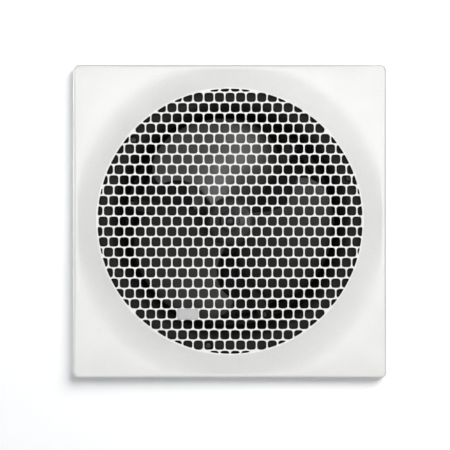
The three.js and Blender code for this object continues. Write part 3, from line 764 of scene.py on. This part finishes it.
def spigot_screw_holes():
    return around(SPIGOT_SCREW_ANGLES, drum_hole(2, THROAT_R - 1, DRUM_R + 5, 16, SPIGOT_SCREW_Y))


def housing_shape():
    plate = cut(
        slab(outline_box(FLANGE_SIDE, FLANGE_SIDE, 4), FLANGE_FRONT, FLANGE_BACK, 0.5),
        rod(BELL_R + 1.5, FLANGE_FRONT - 1, FLANGE_BACK + 1, count=128, soft=0),
    )
    boss_y = ARM_Y + 4.3
    grown = [rod(5.5, CORNER_Y + SHELL + 0.5, FLANGE_BACK - 0.5, x, z, 32, 0.5) for x, z in PEG_PLACES]
    grown += around(
        CLAMP_ANGLES,
        block(THROAT_R + 1.5, 123, LUG_Y, LUG_Y + 3, -6, 6, 0.5, 2.5),
        block(THROAT_R + 1.5, 114, LUG_Y + 2, LUG_Y + 10, -1, 1, 0.4),
    )
    grown += around(
        ARM_ANGLES,
        rod(5.5, boss_y, boss_y + 16, ARM_FOOT_R, 0, 28, 0.6),
        block(ARM_FOOT_R, THROAT_R + 1.5, boss_y + 0.3, boss_y + 16, -3, 3, 0.5),
    )
    bored = [rod(PEG_R + 0.4, -12, 2, x, z, 24, 0) for x, z in PEG_PLACES]
    bored += around(CLAMP_ANGLES, rod(2.6, -12, LUG_Y + 2.9, CLAMP_R, 0, 20, 0))
    bored += around(ARM_ANGLES, rod(1.9, boss_y - 2, boss_y + 14, ARM_FOOT_R, 0, 16, 0))
    bored += around([BOX_ANGLE], drum_hole(4.6, THROAT_R - 4, DRUM_R + 4, 24, LEAD_Y))
    return cut(joined(drum_shape(), plate, *grown), *bored, *spigot_screw_holes())


piece("drum_housing", housing_shape(), "housing", sharp=30)
piece("foam_gasket", sleeve("wall_gasket", 127.5, 0.5, 128), "wall_gasket")


# Fan -------------------------------------------

FAN_R = 99.5
BLADE_END_R = 73.5
HUB_R = 23
SHAFT_R = near("motor_shaft")[1].x
FAN_FRONT = near("impeller_washer")[0].y + 0.1


def blade_point(u, v, side):
    """Place on a blade: u runs from the leading to the trailing edge, v from the hub to the tip."""
    crown = (1 - 0.2 * u ** 2) * max(0, 1 - abs(2 * u - 1) ** 3.2) ** 0.55
    tip = BLADE_END_R + (FAN_R - BLADE_END_R) * crown
    root = HUB_R - 1.5
    r = root + (tip - root) * v
    leading = 141 - 36.6 * v + 47.6 * v ** 2
    trailing = 39 + 6 * v + 8 * v ** 2
    angle = radians(leading + (trailing - leading) * u)
    pitch = 22 + 14 * v
    camber = (3 + 3 * v) * 4 * u * (1 - u)
    edge = min(u, 1 - u) * 26
    thickness = (3 - 1.2 * v) * (0.45 + 0.55 * sqrt(min(1, edge))) * (1 - 0.45 * max(0, v - 0.96) / 0.04)
    y = FAN_FRONT + 20 + pitch * (u - 0.5) - camber + side * thickness
    return (r * cos(angle), y, r * sin(angle))


def blade_shape():
    us = [0.5 - 0.5 * cos(pi * k / 44) for k in range(45)]
    vs = [k / 22 * 0.95 for k in range(23)] + [0.965, 0.98, 0.99, 1]
    around_blade = [(u, -0.5) for u in us] + [(u, 0.5) for u in reversed(us)]
    return rings_to_shape([[blade_point(u, v, side) for u, side in around_blade] for v in vs])


def hub_shape():
    f = FAN_FRONT
    return turned(rounded([
        (SHAFT_R + 0.1, f + 1), (9, f + 1), (9, f + 4), (19, f + 5.5), (22, f + 7.5), (HUB_R, f + 11),
        (HUB_R, f + 36), (HUB_R - 2.5, f + 36), (HUB_R - 2.5, f + 10), (9.5, f + 8), (8, f + 38),
        (SHAFT_R + 0.1, f + 38),
    ], 1.0), 72)


def impeller_shape():
    blades = around(range(0, 360, 120), blade_shape())
    ribs = around(range(30, 360, 60), block(8.4, 17.8, FAN_FRONT + 3.2, FAN_FRONT + 6.5, -0.7, 0.7, 0.25))
    return joined(hub_shape(), *blades, *ribs)


def cap_nut_shape(corner_r, height):
    """Cap nut: a hexagon with chamfered corners and a domed front that hides the end of the shaft."""
    low, high = near("impeller_nut")
    start = high.y - height
    hexagon = slab(outline_round(corner_r, 6), start, high.y, 0.0)
    face_r, outer_r, dome_r = corner_r * 0.88, corner_r * 1.02, corner_r * 0.83
    profile = [(0, start), (face_r, start), (outer_r, start + 0.8), (outer_r, high.y), (0, high.y)]
    chamfer = turned(rounded(profile, 0.05), 48)
    dome = [(dome_r * sin(t), start - (start - low.y) * cos(t)) for t in quarter_turn(8)]
    dome += [(dome_r, start + 0.5), (0, start + 0.5)]
    bore = rod(SHAFT_R + 0.05, start + 1, high.y + 5, soft=0)
    return cut(joined(combined(hexagon, [chamfer], "INTERSECT"), turned(dome, 48)), bore)


piece("fan_impeller", impeller_shape(), "impeller", sharp=40)
piece("shaft_nut", cap_nut_shape(5.8, 4.6), "impeller_nut", sharp=20)
piece("shaft_washer", sleeve("impeller_washer", SHAFT_R + 0.1, 0.25, 40), "impeller_washer")
low, high = near("motor_shaft")
piece("steel_shaft", turned([
    (0, low.y), (SHAFT_R - 0.6, low.y), (SHAFT_R, low.y + 0.8), (SHAFT_R, high.y - 0.8),
    (SHAFT_R - 0.6, high.y), (0, high.y),
], 32), "motor_shaft")
piece("squirrel_cage", sleeve("rotor_core", SHAFT_R + 0.1, 0.5, 64), "rotor_core")


# Motor and its carrier -------------------------


def box_in_arm(node, angle):
    """Box of a CAD node as it would be if its arm pointed along +x, in millimetres."""
    back = arm(angle).inverted() @ TO_FRAME.inverted()
    at = np.array([back @ v.co for v in frame["nodes"][node].data.vertices])
    return Vector(at.min(0)), Vector(at.max(0))


def screw_shape(head_r, head_height, shank_r, length, pitch=0.9):
    """Pan-head screw with a cross recess, its head at y = 0 and its threaded shank along +y."""
    profile = [(0, 0.12 * head_height)]
    for t in quarter_turn(8):
        profile.append((head_r * (0.35 + 0.65 * sin(t)), 0.75 * head_height * (1 - cos(t)) ** 1.2))
    profile += [(head_r, head_height - 0.1), (head_r - 0.1, head_height), (shank_r, head_height)]
    y = head_height + 0.8
    while y + pitch < length - shank_r:
        profile += [(shank_r * 0.8, y), (shank_r, y + pitch * 0.45), (shank_r, y + pitch * 0.6)]
        y += pitch
    profile += [(shank_r * 0.8, length - shank_r), (0.1 * shank_r, length - 0.02), (0, length)]
    blank = turned(profile, 28)
    wing, width, deep = 0.62 * head_r, 0.13 * head_r, 0.75 * head_height
    slot = shape(
        [(sx * wing * s, y, sz * width * s) for s, y in ((1, -1), (0.45, deep))
         for sx, sz in ((1, 1), (-1, 1), (-1, -1), (1, -1))],
        [(0, 1, 2, 3), (4, 5, 6, 7), (0, 1, 5, 4), (1, 2, 6, 5), (2, 3, 7, 6), (3, 0, 4, 7)],
    )
    return cut(blank, joined(*around((20, 110), slot)))


def axial_screw(name, node, head_r, head_height, shank_r, from_room=True, pitch=0.9):
    low, high = near(node)
    at = middle(node)
    made = screw_shape(head_r, head_height, shank_r, high.y - low.y, pitch)
    place = shift(at.x, low.y, at.z)
    if not from_room:
        place = shift(at.x, high.y, at.z) @ Matrix.Rotation(pi, 4, "X")
    piece(name, moved(made, place), node, sharp=40)


def radial_screw(name, node, angle, head_r, head_height, shank_r):
    low, high = box_in_arm(node, angle)
    made = screw_shape(head_r, head_height, shank_r, high.x - low.x)
    place = shift(high.x, (low.y + high.y) / 2, (low.z + high.z) / 2) @ Matrix.Rotation(pi / 2, 4, "Z")
    piece(name, moved(made, arm(angle) @ place), node, sharp=40)


MOTOR_SCREWS_Z = (23, -23)
MOTOR_ANGLE = angle_of("stator_yoke")
IN_MOTOR = arm(MOTOR_ANGLE)


def carrier_shape():
    front = near("motor_carrier")[0].y
    back = front + 3
    arms = around(
        ARM_ANGLES,
        block(20, ARM_FOOT_R, front, back, -5.5, 5.5, 0.5, 1.0),
        block(22, ARM_FOOT_R - 8, back - 0.5, back + 4, -1.2, 1.2, 0.4),
        rod(6, front, back, ARM_FOOT_R, 0, 40, 0.5),
    )
    holes = [rod(13, 0, 90, count=64, soft=0)]
    holes += around(ARM_ANGLES, rod(3.8, 0, 90, ARM_FOOT_R, 0, 28, 0))
    holes += around([MOTOR_ANGLE], *(rod(2.3, 0, 90, 0, z, 20, 0) for z in MOTOR_SCREWS_Z))
    plate = rod(31, front, back, count=96, soft=0.5)
    rim = rod(30, back - 0.5, back + 1.6, count=96, soft=0.3)
    rim = cut(rim, rod(27.8, back - 2, back + 3, count=96, soft=0))
    return cut(joined(plate, rim, *arms), *holes)


def grommet_shape():
    low, high = near("carrier_grommet_1")
    front, back = low.y + 1.2, high.y - 1.1
    return turned(rounded([
        (2, low.y), (5, low.y), (5, front - 0.1), (3.4, front - 0.1), (3.4, back + 0.1), (5, back + 0.1),
        (5, high.y), (2, high.y),
    ], 0.4), 32)


def winding_shape():
    """Coil on its former: each row of wire shows as a small ridge round the outside."""
    low, high = box_in_arm("motor_coil", MOTOR_ANGLE)
    width, height, _ = high - low
    core_low, core_high = box_in_arm("stator_yoke", MOTOR_ANGLE)
    hole_w, hole_h, _ = core_high - core_low + Vector((3.4, 3.4, 0))
    wire = 0.9
    rows = int((high.z - low.z) / wire)
    rings = []
    for row in range(rows):
        z0 = low.z + (high.z - low.z) * row / rows
        sag = 0.25 * sin(row * 2.3) ** 2
        for t in (0.02, 0.2, 0.5, 0.8):
            inset = 0.42 * (1 - sin(pi * t)) + sag
            rings.append((width - 2 * inset, height - 2 * inset, 7 - inset, z0 + wire * t))
    rings += [(width - 1, height - 1, 6.5, high.z), (hole_w, hole_h, 0.4, high.z)]
    rings += [(hole_w, hole_h, 0.4, low.z), (width - 1, height - 1, 6.5, low.z)]
    cx, cy = (low.x + high.x) / 2, (low.y + high.y) / 2
    skins = [[(cx + p[0], cy + p[1], z) for p in outline_box(w, h, r, 6)] for w, h, r, z in rings]
    return moved(rings_to_shape(skins, loop=True), IN_MOTOR)


def bracket_shape(side):
    """Die-cast bridge with two feet and a bearing cup. Side is -1 in front of the core and 1 behind it."""
    face = near("stator_core")[max(side, 0)].y

    def span(y0, y1):
        return sorted((face + side * y0, face + side * y1))

    parts = [slab(outline_box(18, 60, 4, 6), *span(3.2, 5.7), 0.5)]
    parts += [block(-4.5, 4.5, *span(0.3, 4), z - 4.5, z + 4.5, 0.4, 1.5) for z in MOTOR_SCREWS_Z]
    parts += [block(-1, 1, *span(5, 9), z0, z1, 0.4) for z0, z1 in ((8, 17.5), (-17.5, -8))]
    parts.append(rod(9, *span(3.2, 12), count=48, soft=0.8))
    holes = [rod(6.4, -50, 200, count=48, soft=0)]
    holes += [rod(2.4, -50, 200, 0, z, 20, 0) for z in MOTOR_SCREWS_Z]
    return moved(cut(joined(*parts), *holes), IN_MOTOR)


piece("motor_bracket_plate", carrier_shape(), "motor_carrier", sharp=30)
for i, angle in enumerate(ARM_ANGLES, 1):
    bush = moved(grommet_shape(), arm(angle) @ shift(ARM_FOOT_R, 0, 0))
    piece(f"rubber_bush_{i}", bush, f"carrier_grommet_{i}")
    axial_screw(f"bracket_screw_{i}", f"carrier_screw_{i}", 4.2, 2.4, 1.7)
piece("copper_winding", winding_shape(), "motor_coil", sharp=60)
for end, side in (("front", -1), ("rear", 1)):
    piece(f"bearing_bridge_{end}", bracket_shape(side), f"bearing_bracket_{end}", sharp=30)
for end in ("front", "rear"):
    piece(f"bushing_{end}", sleeve(f"bearing_{end}", SHAFT_R + 0.2, 0.5, 40), f"bearing_{end}")
for end in ("upper", "lower"):
    axial_screw(f"motor_bolt_{end}", f"motor_screw_{end}", 3.6, 2.2, 1.9, from_room=False)
for node, bevel in (("stator_core", 0.25), ("stator_yoke", 0.3), ("coil_bobbin", 0.3),
                    ("shading_ring_left", 0.4), ("shading_ring_right", 0.4)):
    keep_cad(node, bevel)


# Electrical box --------------------------------

IN_BOX = arm(BOX_ANGLE)
LID_SCREW_Y = middle("terminal_cover_screw").y


def box_shape():
    low, high = box_in_arm("terminal_box", BOX_ANGLE)
    x, y0, z0 = low + Vector((1.8, 1.8, 1.8))
    y1, z1 = high.y - 1.8, high.z - 1.8
    outer = block(low.x, high.x, low.y, high.y, low.z, high.z, 0.7, 0.5)
    inner = block(x, high.x + 4, y0, y1, z0, z1, 0.8, 0.4)
    post = across(rod(3.2, low.x + 1, high.x - 0.1, count=28, soft=0.3), LID_SCREW_Y)
    ribs = [block(low.x + 1, high.x - 3, y - 0.5, y + 0.5, low.z + 1, low.z + 5, 0.2) for y in (50, 62, 74)]
    entry = rod(4, high.y - 3, high.y + 3, low.x + 7, -8, 32, 0)
    return moved(cut(
        joined(cut(outer, inner), post, *ribs),
        drum_hole(1.2, low.x + 4, high.x + 1, 16, LID_SCREW_Y),
        drum_hole(7, low.x - 1, low.x + 3, 32, LEAD_Y),
        entry,
    ), IN_BOX)


def cover_shape():
    low, high = box_in_arm("terminal_cover", BOX_ANGLE)
    face = high.x - 2
    lid = block(face, high.x, low.y, high.y, low.z, high.z, 0.5, 0.8)
    y0, y1, z0, z1 = low.y + 2.1, high.y - 2.1, low.z + 2.1, high.z - 2.1
    lip = cut(
        block(low.x, face + 0.2, y0, y1, z0, z1, 0.3, 0.5),
        block(low.x - 1, face + 0.1, y0 + 1.5, y1 - 1.5, z0 + 1.5, z1 - 1.5, 0.0, 0.4),
    )
    cutters = [drum_hole(1.9, low.x - 1, high.x + 1, 24, LID_SCREW_Y)]
    for z in (-12, -8, -4, 4, 8, 12):
        cutters.append(block(high.x - 0.45, high.x + 1, low.y + 14, high.y - 6, z - 0.5, z + 0.5, 0.1))
    return moved(cut(joined(lid, lip), *cutters), IN_BOX)


def lead_bush_shape():
    inner = box_in_arm("lead_grommet", BOX_ANGLE)[0].x
    profile = [(2.5, 0), (6.2, 0), (6.2, 1.3), (4.2, 1.5), (4.2, 5.4), (6, 5.5), (6, 6.7), (2.5, 6.7)]
    ring = turned(rounded([(r, y + inner) for r, y in profile], 0.3), 32)
    return moved(across(ring, LEAD_Y), IN_BOX)


def lead_shape():
    low, high = box_in_arm("motor_lead", BOX_ANGLE)
    r = 2.1
    path = smooth_path([
        (low.x + 0.2, 98, 0), (80, 96, 0), (90, 84, 0), (99, LEAD_Y, 0), (108, LEAD_Y, 0), (112, 80, 3),
        (high.x - r, 73.5, 6),
    ])
    return moved(tube(path, r, 20), IN_BOX)


piece("wiring_box", box_shape(), "terminal_box", sharp=30)
piece("wiring_box_lid", cover_shape(), "terminal_cover", sharp=30)
piece("lead_bush", lead_bush_shape(), "lead_grommet")
piece("winding_lead", lead_shape(), "motor_lead", sharp=60)
radial_screw("lid_screw", "terminal_cover_screw", BOX_ANGLE, 3.2, 1.8, 1)
for side in ("left", "right"):
    radial_screw(f"grip_screw_{side}", f"cord_grip_screw_{side}", BOX_ANGLE, 2.6, 1.6, 1.2)
keep_cad("terminal_block", 0.25)
keep_cad("cord_grip", 0.4)


# Spigot and damper -----------------------------

SPIGOT_END = near("outlet_spigot")[1].y
SPIGOT_R, BORE_R, SEAT_R = 98.5, 95.5, 92.4
DAMPER_Y = middle("damper_pin").y
FLAP_R = near("damper_flap_right")[1].x
FLAP_START = 5
SPRING_R, SPRING_WIRE = 4.4, 0.45
SPRING_HALF = 1.6
SPRING_Z = {end: middle(f"damper_spring_{end}").z for end in ("upper", "lower")}


def along_pin(r, z0, z1, count=24, soft=0.3):
    """A rod on the damper's pin, from one height to another."""
    upright = shift(0, DAMPER_Y, 0) @ Matrix.Rotation(pi / 2, 4, "X")
    return moved(rod(r, z0, z1, count=count, soft=soft), upright)


def pin_bore():
    return along_pin(1.9, -95, 95, 20, 0)


def spigot_shape():
    start = near("outlet_spigot")[0].y
    inner, outer = DRUM_R + 0.3, DRUM_R + 2.8
    bead_y, seat_y = SPIGOT_END - 9, DAMPER_Y - 1.1
    bead = [(SPIGOT_R + 0.9 * sin(a), bead_y - 1.6 * cos(a)) for a in (pi * k / 8 for k in range(9))]
    profile = [
        (inner, start), (outer, start), (outer, DRUM_END + 2), (SPIGOT_R + 1, DRUM_END + 5.6),
        (SPIGOT_R, DRUM_END + 7), *bead, (SPIGOT_R, SPIGOT_END - 1.2), (SPIGOT_R - 0.8, SPIGOT_END),
        (BORE_R + 0.4, SPIGOT_END), (BORE_R, SPIGOT_END - 0.4), (BORE_R, seat_y + 0.3),
        (BORE_R - 0.3, seat_y), (SEAT_R + 0.3, seat_y), (SEAT_R, seat_y - 0.4), (BORE_R, seat_y - 4),
        (BORE_R, DRUM_END + 3), (DRUM_R - 1, DRUM_END + 0.3), (inner, DRUM_END + 0.3),
    ]
    reach = BORE_R + 1
    bar = block(-7, 7, DAMPER_Y - 9, DAMPER_Y - 5.6, -reach, reach, 0.6, 0.5)
    ears = [
        block(-2.5, 2.5, DAMPER_Y - 7, DAMPER_Y + 3.5, z - half, z + half, 0.6, 0.5)
        for z, half in ((0, 2.5), (94, 2), (-94, 2))
    ]
    return cut(joined(turned(profile, 128), bar, *ears), pin_bore(), *spigot_screw_holes())


def flap_shape(side, knuckles):
    """Half-round sheet with a pressed bead, a rib and rolled knuckles. Side is 1 on +x and -1 on -x."""
    front, back = DAMPER_Y - 0.75, DAMPER_Y + 0.75
    top = acos(FLAP_START / FLAP_R)
    sheet = slab([(FLAP_R * cos(a), FLAP_R * sin(a)) for a in np.linspace(-top, top, 65)], front, back, 0.3)
    section = [(82.4, 0.5), (83.4, 1.45), (84.6, 1.45), (85.6, 0.5)]
    sweep = np.linspace(-1.15, 1.15, 49)
    bead = rings_to_shape([[(r * cos(a), DAMPER_Y + h, r * sin(a)) for r, h in section] for a in sweep])
    parts = [bead, block(12, 80, DAMPER_Y + 0.5, DAMPER_Y + 3, -1, 1, 0.4)]
    for z in knuckles:
        parts += [block(0, FLAP_START + 2, front, back, z - 7, z + 7, 0.2), along_pin(3.2, -z - 7, -z + 7)]
    notches = [
        block(FLAP_START - 1, FLAP_START + 3.6, DAMPER_Y - 2, DAMPER_Y + 2, z - 4.2, z + 4.2, 0.8)
        for z in SPRING_Z.values()
    ]
    made = cut(joined(sheet, *parts), pin_bore(), *notches)
    if side > 0:
        return made
    return moved(made, shift(0, DAMPER_Y, 0) @ Matrix.Rotation(pi, 4, "Z") @ shift(0, -DAMPER_Y, 0))


def round_pin(a, z, side=1):
    return (side * SPRING_R * cos(a), DAMPER_Y + SPRING_R * sin(a), z)


def spring_coil(z):
    """Three turns of wire round the pin, at a height."""
    steps = [k / 72 for k in range(73)]
    return tube([round_pin(TURN * (0.25 + 3 * t), z + SPRING_HALF * (2 * t - 1)) for t in steps], SPRING_WIRE)


def spring_leg(z, side):
    """The end turn of the wire beside the coil, and its straight end on the back of a flap."""
    z -= side * (SPRING_HALF + 0.95)
    path = [round_pin(a, z, side) for a in np.radians(np.linspace(260, 32, 26))]
    path += [(side * u, DAMPER_Y + v, z) for u, v in ((6, 1.75), (8.6, 1.25), (22, 1.25))]
    return tube(path, SPRING_WIRE)


piece("duct_spigot", spigot_shape(), "outlet_spigot", sharp=30)
low, high = near("damper_pin")
piece("hinge_pin", along_pin(1.5, low.z, high.z, 24, 0.5), "damper_pin")
piece("damper_half_right", flap_shape(1, [-76, 36, 60]), "damper_flap_right", sharp=30)
piece("damper_half_left", flap_shape(-1, [-60, -36, 76]), "damper_flap_left", sharp=30)
for end, z in SPRING_Z.items():
    node = f"damper_spring_{end}"
    piece(f"spring_coil_{end}", spring_coil(z), node)
    for side, body in ((1, "damper_right"), (-1, "damper_left")):
        leg = piece(f"spring_leg_{end}_{body}", spring_leg(z, side), node)
        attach(leg, body)
for i, angle in enumerate(SPIGOT_SCREW_ANGLES, 1):
    radial_screw(f"collar_screw_{i}", f"spigot_screw_{i}", angle, 3.2, 1.9, 1.6)


# Mounting clamps -------------------------------


def jaw_shape(y):
    """Stowed clamp jaw: a boss round the nut, and an arm that follows the drum."""
    parts = [
        rod(6.3, y, y + 12, count=40, soft=0.5),
        block(-4.2, 3.6, y, y + 5, 0, 23, 0.6, 1.8),
        block(-1.5, 1.5, y + 4, y + 10, 4, 18, 0.5),
    ]
    teeth = [block(-3.2, 2.6, y - 0.5, y + 0.35, z, z + 0.7, 0.1) for z in (11, 13, 15, 17, 19)]
    return cut(joined(*parts), rod(4.9, y - 1, y + 13, count=40, soft=0), *teeth)


def insert_shape(low, high):
    """Round brass nut with knurled bands."""
    r = (high.x - low.x) / 2
    profile = [(2.5, low.y), (r - 0.3, low.y), (r, low.y + 0.4)]
    y = low.y + 1.4
    while y < high.y - 1.6:
        profile += [(r, y), (r - 0.25, y + 0.15), (r - 0.25, y + 0.45), (r, y + 0.6)]
        y += 1.2
    profile += [(r, high.y - 0.4), (r - 0.3, high.y), (2.5, high.y)]
    return turned(profile, 40)


for i, angle in enumerate(CLAMP_ANGLES, 1):
    axial_screw(f"clamp_bolt_{i}", f"clamp_screw_{i}", 4, 2.4, 2.1, pitch=2.0)
    place = arm(angle) @ shift(CLAMP_R, 0, 0)
    box = box_in_arm(f"clamp_nut_{i}", angle)
    piece(f"brass_insert_{i}", moved(insert_shape(*box), place), f"clamp_nut_{i}")
    piece(f"clamp_dog_{i}", moved(jaw_shape(near(f"clamp_jaw_{i}")[0].y), place), f"clamp_jaw_{i}", sharp=30)


# Stage, light and camera -----------------------

FLOOR_Z = CAD_BOX[0].z - 0.17
BOARD_COLOR = (0.93, 0.93, 0.93)
BOARD_GLOW = 0.095
BOARD_REACH = 2.4
HEAD_ON = 0.93
FLOOR_COLOR = (0.8, 0.8, 0.79)
FLOOR_REACH = 40
FLOOR_GLOW = 0.42
SKY_LIGHT, SKY_SEEN = (0.252, 0.266, 0.28, 1), (0.69, 0.695, 0.71, 1)


def stage_piece(name, points, faces, color):
    made = bpy.data.meshes.new(name)
    made.from_pydata(points, [], faces)
    paint = Shader(name, color, 0.9)
    paint.tint(shade(color, 0.97), paint.between(paint.noise(6, 3), 0.4, 0.6, 0.0, 1.0))
    paint.set("Emission Color", (1, 1, 1, 1))
    made.materials.append(paint.material)
    in_scene(name, made)
    return paint


def backdrop():
    """A white board with a round hole behind the flange, seen only by a camera that looks straight at it."""
    count, hole = 64, (BELL_R + 6) * MM
    points = [(reach * cos(a), WALL, max(FLOOR_Z, reach * sin(a)))
              for reach in (hole, BOARD_REACH) for a in full_turn(count)]
    faces = [(k, (k + 1) % count, count + (k + 1) % count, count + k) for k in range(count)]
    paint = stage_piece("backdrop", points, faces, BOARD_COLOR)
    paint.set("Emission Strength", BOARD_GLOW)
    geometry = paint.node("NewGeometry")
    facing = paint.node("VectorMath", operation="DOT_PRODUCT")
    facing.inputs[1].default_value = (0, -1, 0)
    paint.link(geometry.outputs["Incoming"], facing.inputs[0])
    head_on = paint.math("GREATER_THAN", facing.outputs["Value"], HEAD_ON)
    seen = paint.math("MULTIPLY", head_on, paint.node("LightPath").outputs["Is Camera Ray"])
    mix = paint.node("MixShader")
    clear = paint.node("BsdfTransparent")
    output = next(n for n in paint.tree.nodes if n.type == "OUTPUT_MATERIAL")
    paint.link(seen, mix.inputs[0])
    paint.link(clear.outputs[0], mix.inputs[1])
    paint.link(paint.surface.outputs[0], mix.inputs[2])
    paint.link(mix.outputs[0], output.inputs[0])


def soft_light(name, place, target, size, power, linked, state="INCLUDE"):
    """A round soft light. It lights only the linked objects, or everything except them."""
    data = set_up(bpy.data.lights.new(name, "AREA"), shape="DISK", size=size, energy=power)
    aim = (Vector(target) - Vector(place)).to_track_quat("-Z", "Y")
    obj = set_up(in_scene(name, data), location=place, rotation_mode="QUATERNION", rotation_quaternion=aim)
    lit = bpy.data.collections.new(f"{name}_linked")
    for other in linked:
        lit.objects.link(bpy.data.objects[other])
    for entry in lit.collection_objects:
        entry.light_linking.link_state = state
    obj.light_linking.receiver_collection = lit


def floor():
    """A pale floor. It looks paler to the camera than it lights the object."""
    corners = [(-1, -1), (1, -1), (1, 1), (-1, 1)]
    points = [(x * FLOOR_REACH, y * FLOOR_REACH, FLOOR_Z) for x, y in corners]
    paint = stage_piece("floor", points, [(0, 1, 2, 3)], FLOOR_COLOR)
    seen = paint.node("LightPath").outputs["Is Camera Ray"]
    paint.link(paint.math("MULTIPLY", seen, FLOOR_GLOW), paint.surface.inputs["Emission Strength"])


def sky():
    """An even soft sky, which looks paler to the camera than it lights the object."""
    world = bpy.data.worlds.new("studio")
    world.use_nodes = True
    tree = world.node_tree
    background = tree.nodes["Background"]
    color = tree.nodes.new("ShaderNodeMixRGB")
    color.inputs[1].default_value = SKY_LIGHT
    color.inputs[2].default_value = SKY_SEEN
    tree.links.new(tree.nodes.new("ShaderNodeLightPath").outputs["Is Camera Ray"], color.inputs[0])
    tree.links.new(color.outputs[0], background.inputs["Color"])
    bpy.context.scene.world = world


floor()
backdrop()
sky()
soft_light("board_key", (0.76, -1.0, 0.86), (0, 0, 0), 1.3, 36, ["backdrop"])
soft_light("front", (0.05, -2.3, -0.25), (0, 0, 0), 2.3, 68, ["backdrop"], "EXCLUDE")
soft_light("fan_sheen", (1.15, -1.45, 0.25), (0, 0, 0), 0.8, 62, ["fan_impeller"])
soft_light("key", (0.8, -1.3, 1.2), (0, -0.05, 0), 0.8, 4, ["backdrop"], "EXCLUDE")
soft_light("rear", (0.9, 1.6, 0.9), (0, 0.05, 0), 1.4, 60, ["backdrop", "floor"], "EXCLUDE")
soft_light("rear_fill", (-1.5, 1.2, 0.4), (0, 0.05, 0), 1.6, 40, ["backdrop", "floor"], "EXCLUDE")
bpy.context.scene.view_settings.view_transform = "Standard"

# The frame is 1.435 fascia sides wide, and the fascia sits a little right of and above its middle.
FRAME_SPAN = 1.435 * SIDE * MM
RIGHT_SHIFT, UP_SHIFT = 0.016 * SIDE * MM, 0.012 * SIDE * MM
DISTANCE = 1.5
camera = bpy.data.cameras.new("camera")
camera.sensor_width = 36
camera.lens = camera.sensor_width * DISTANCE / FRAME_SPAN
view = in_scene("camera", camera)
view.location = (-RIGHT_SHIFT, WALL + CORNER_Y * MM - DISTANCE, -UP_SHIFT)
view.rotation_euler = (pi / 2, 0, 0)
bpy.context.scene.camera = view
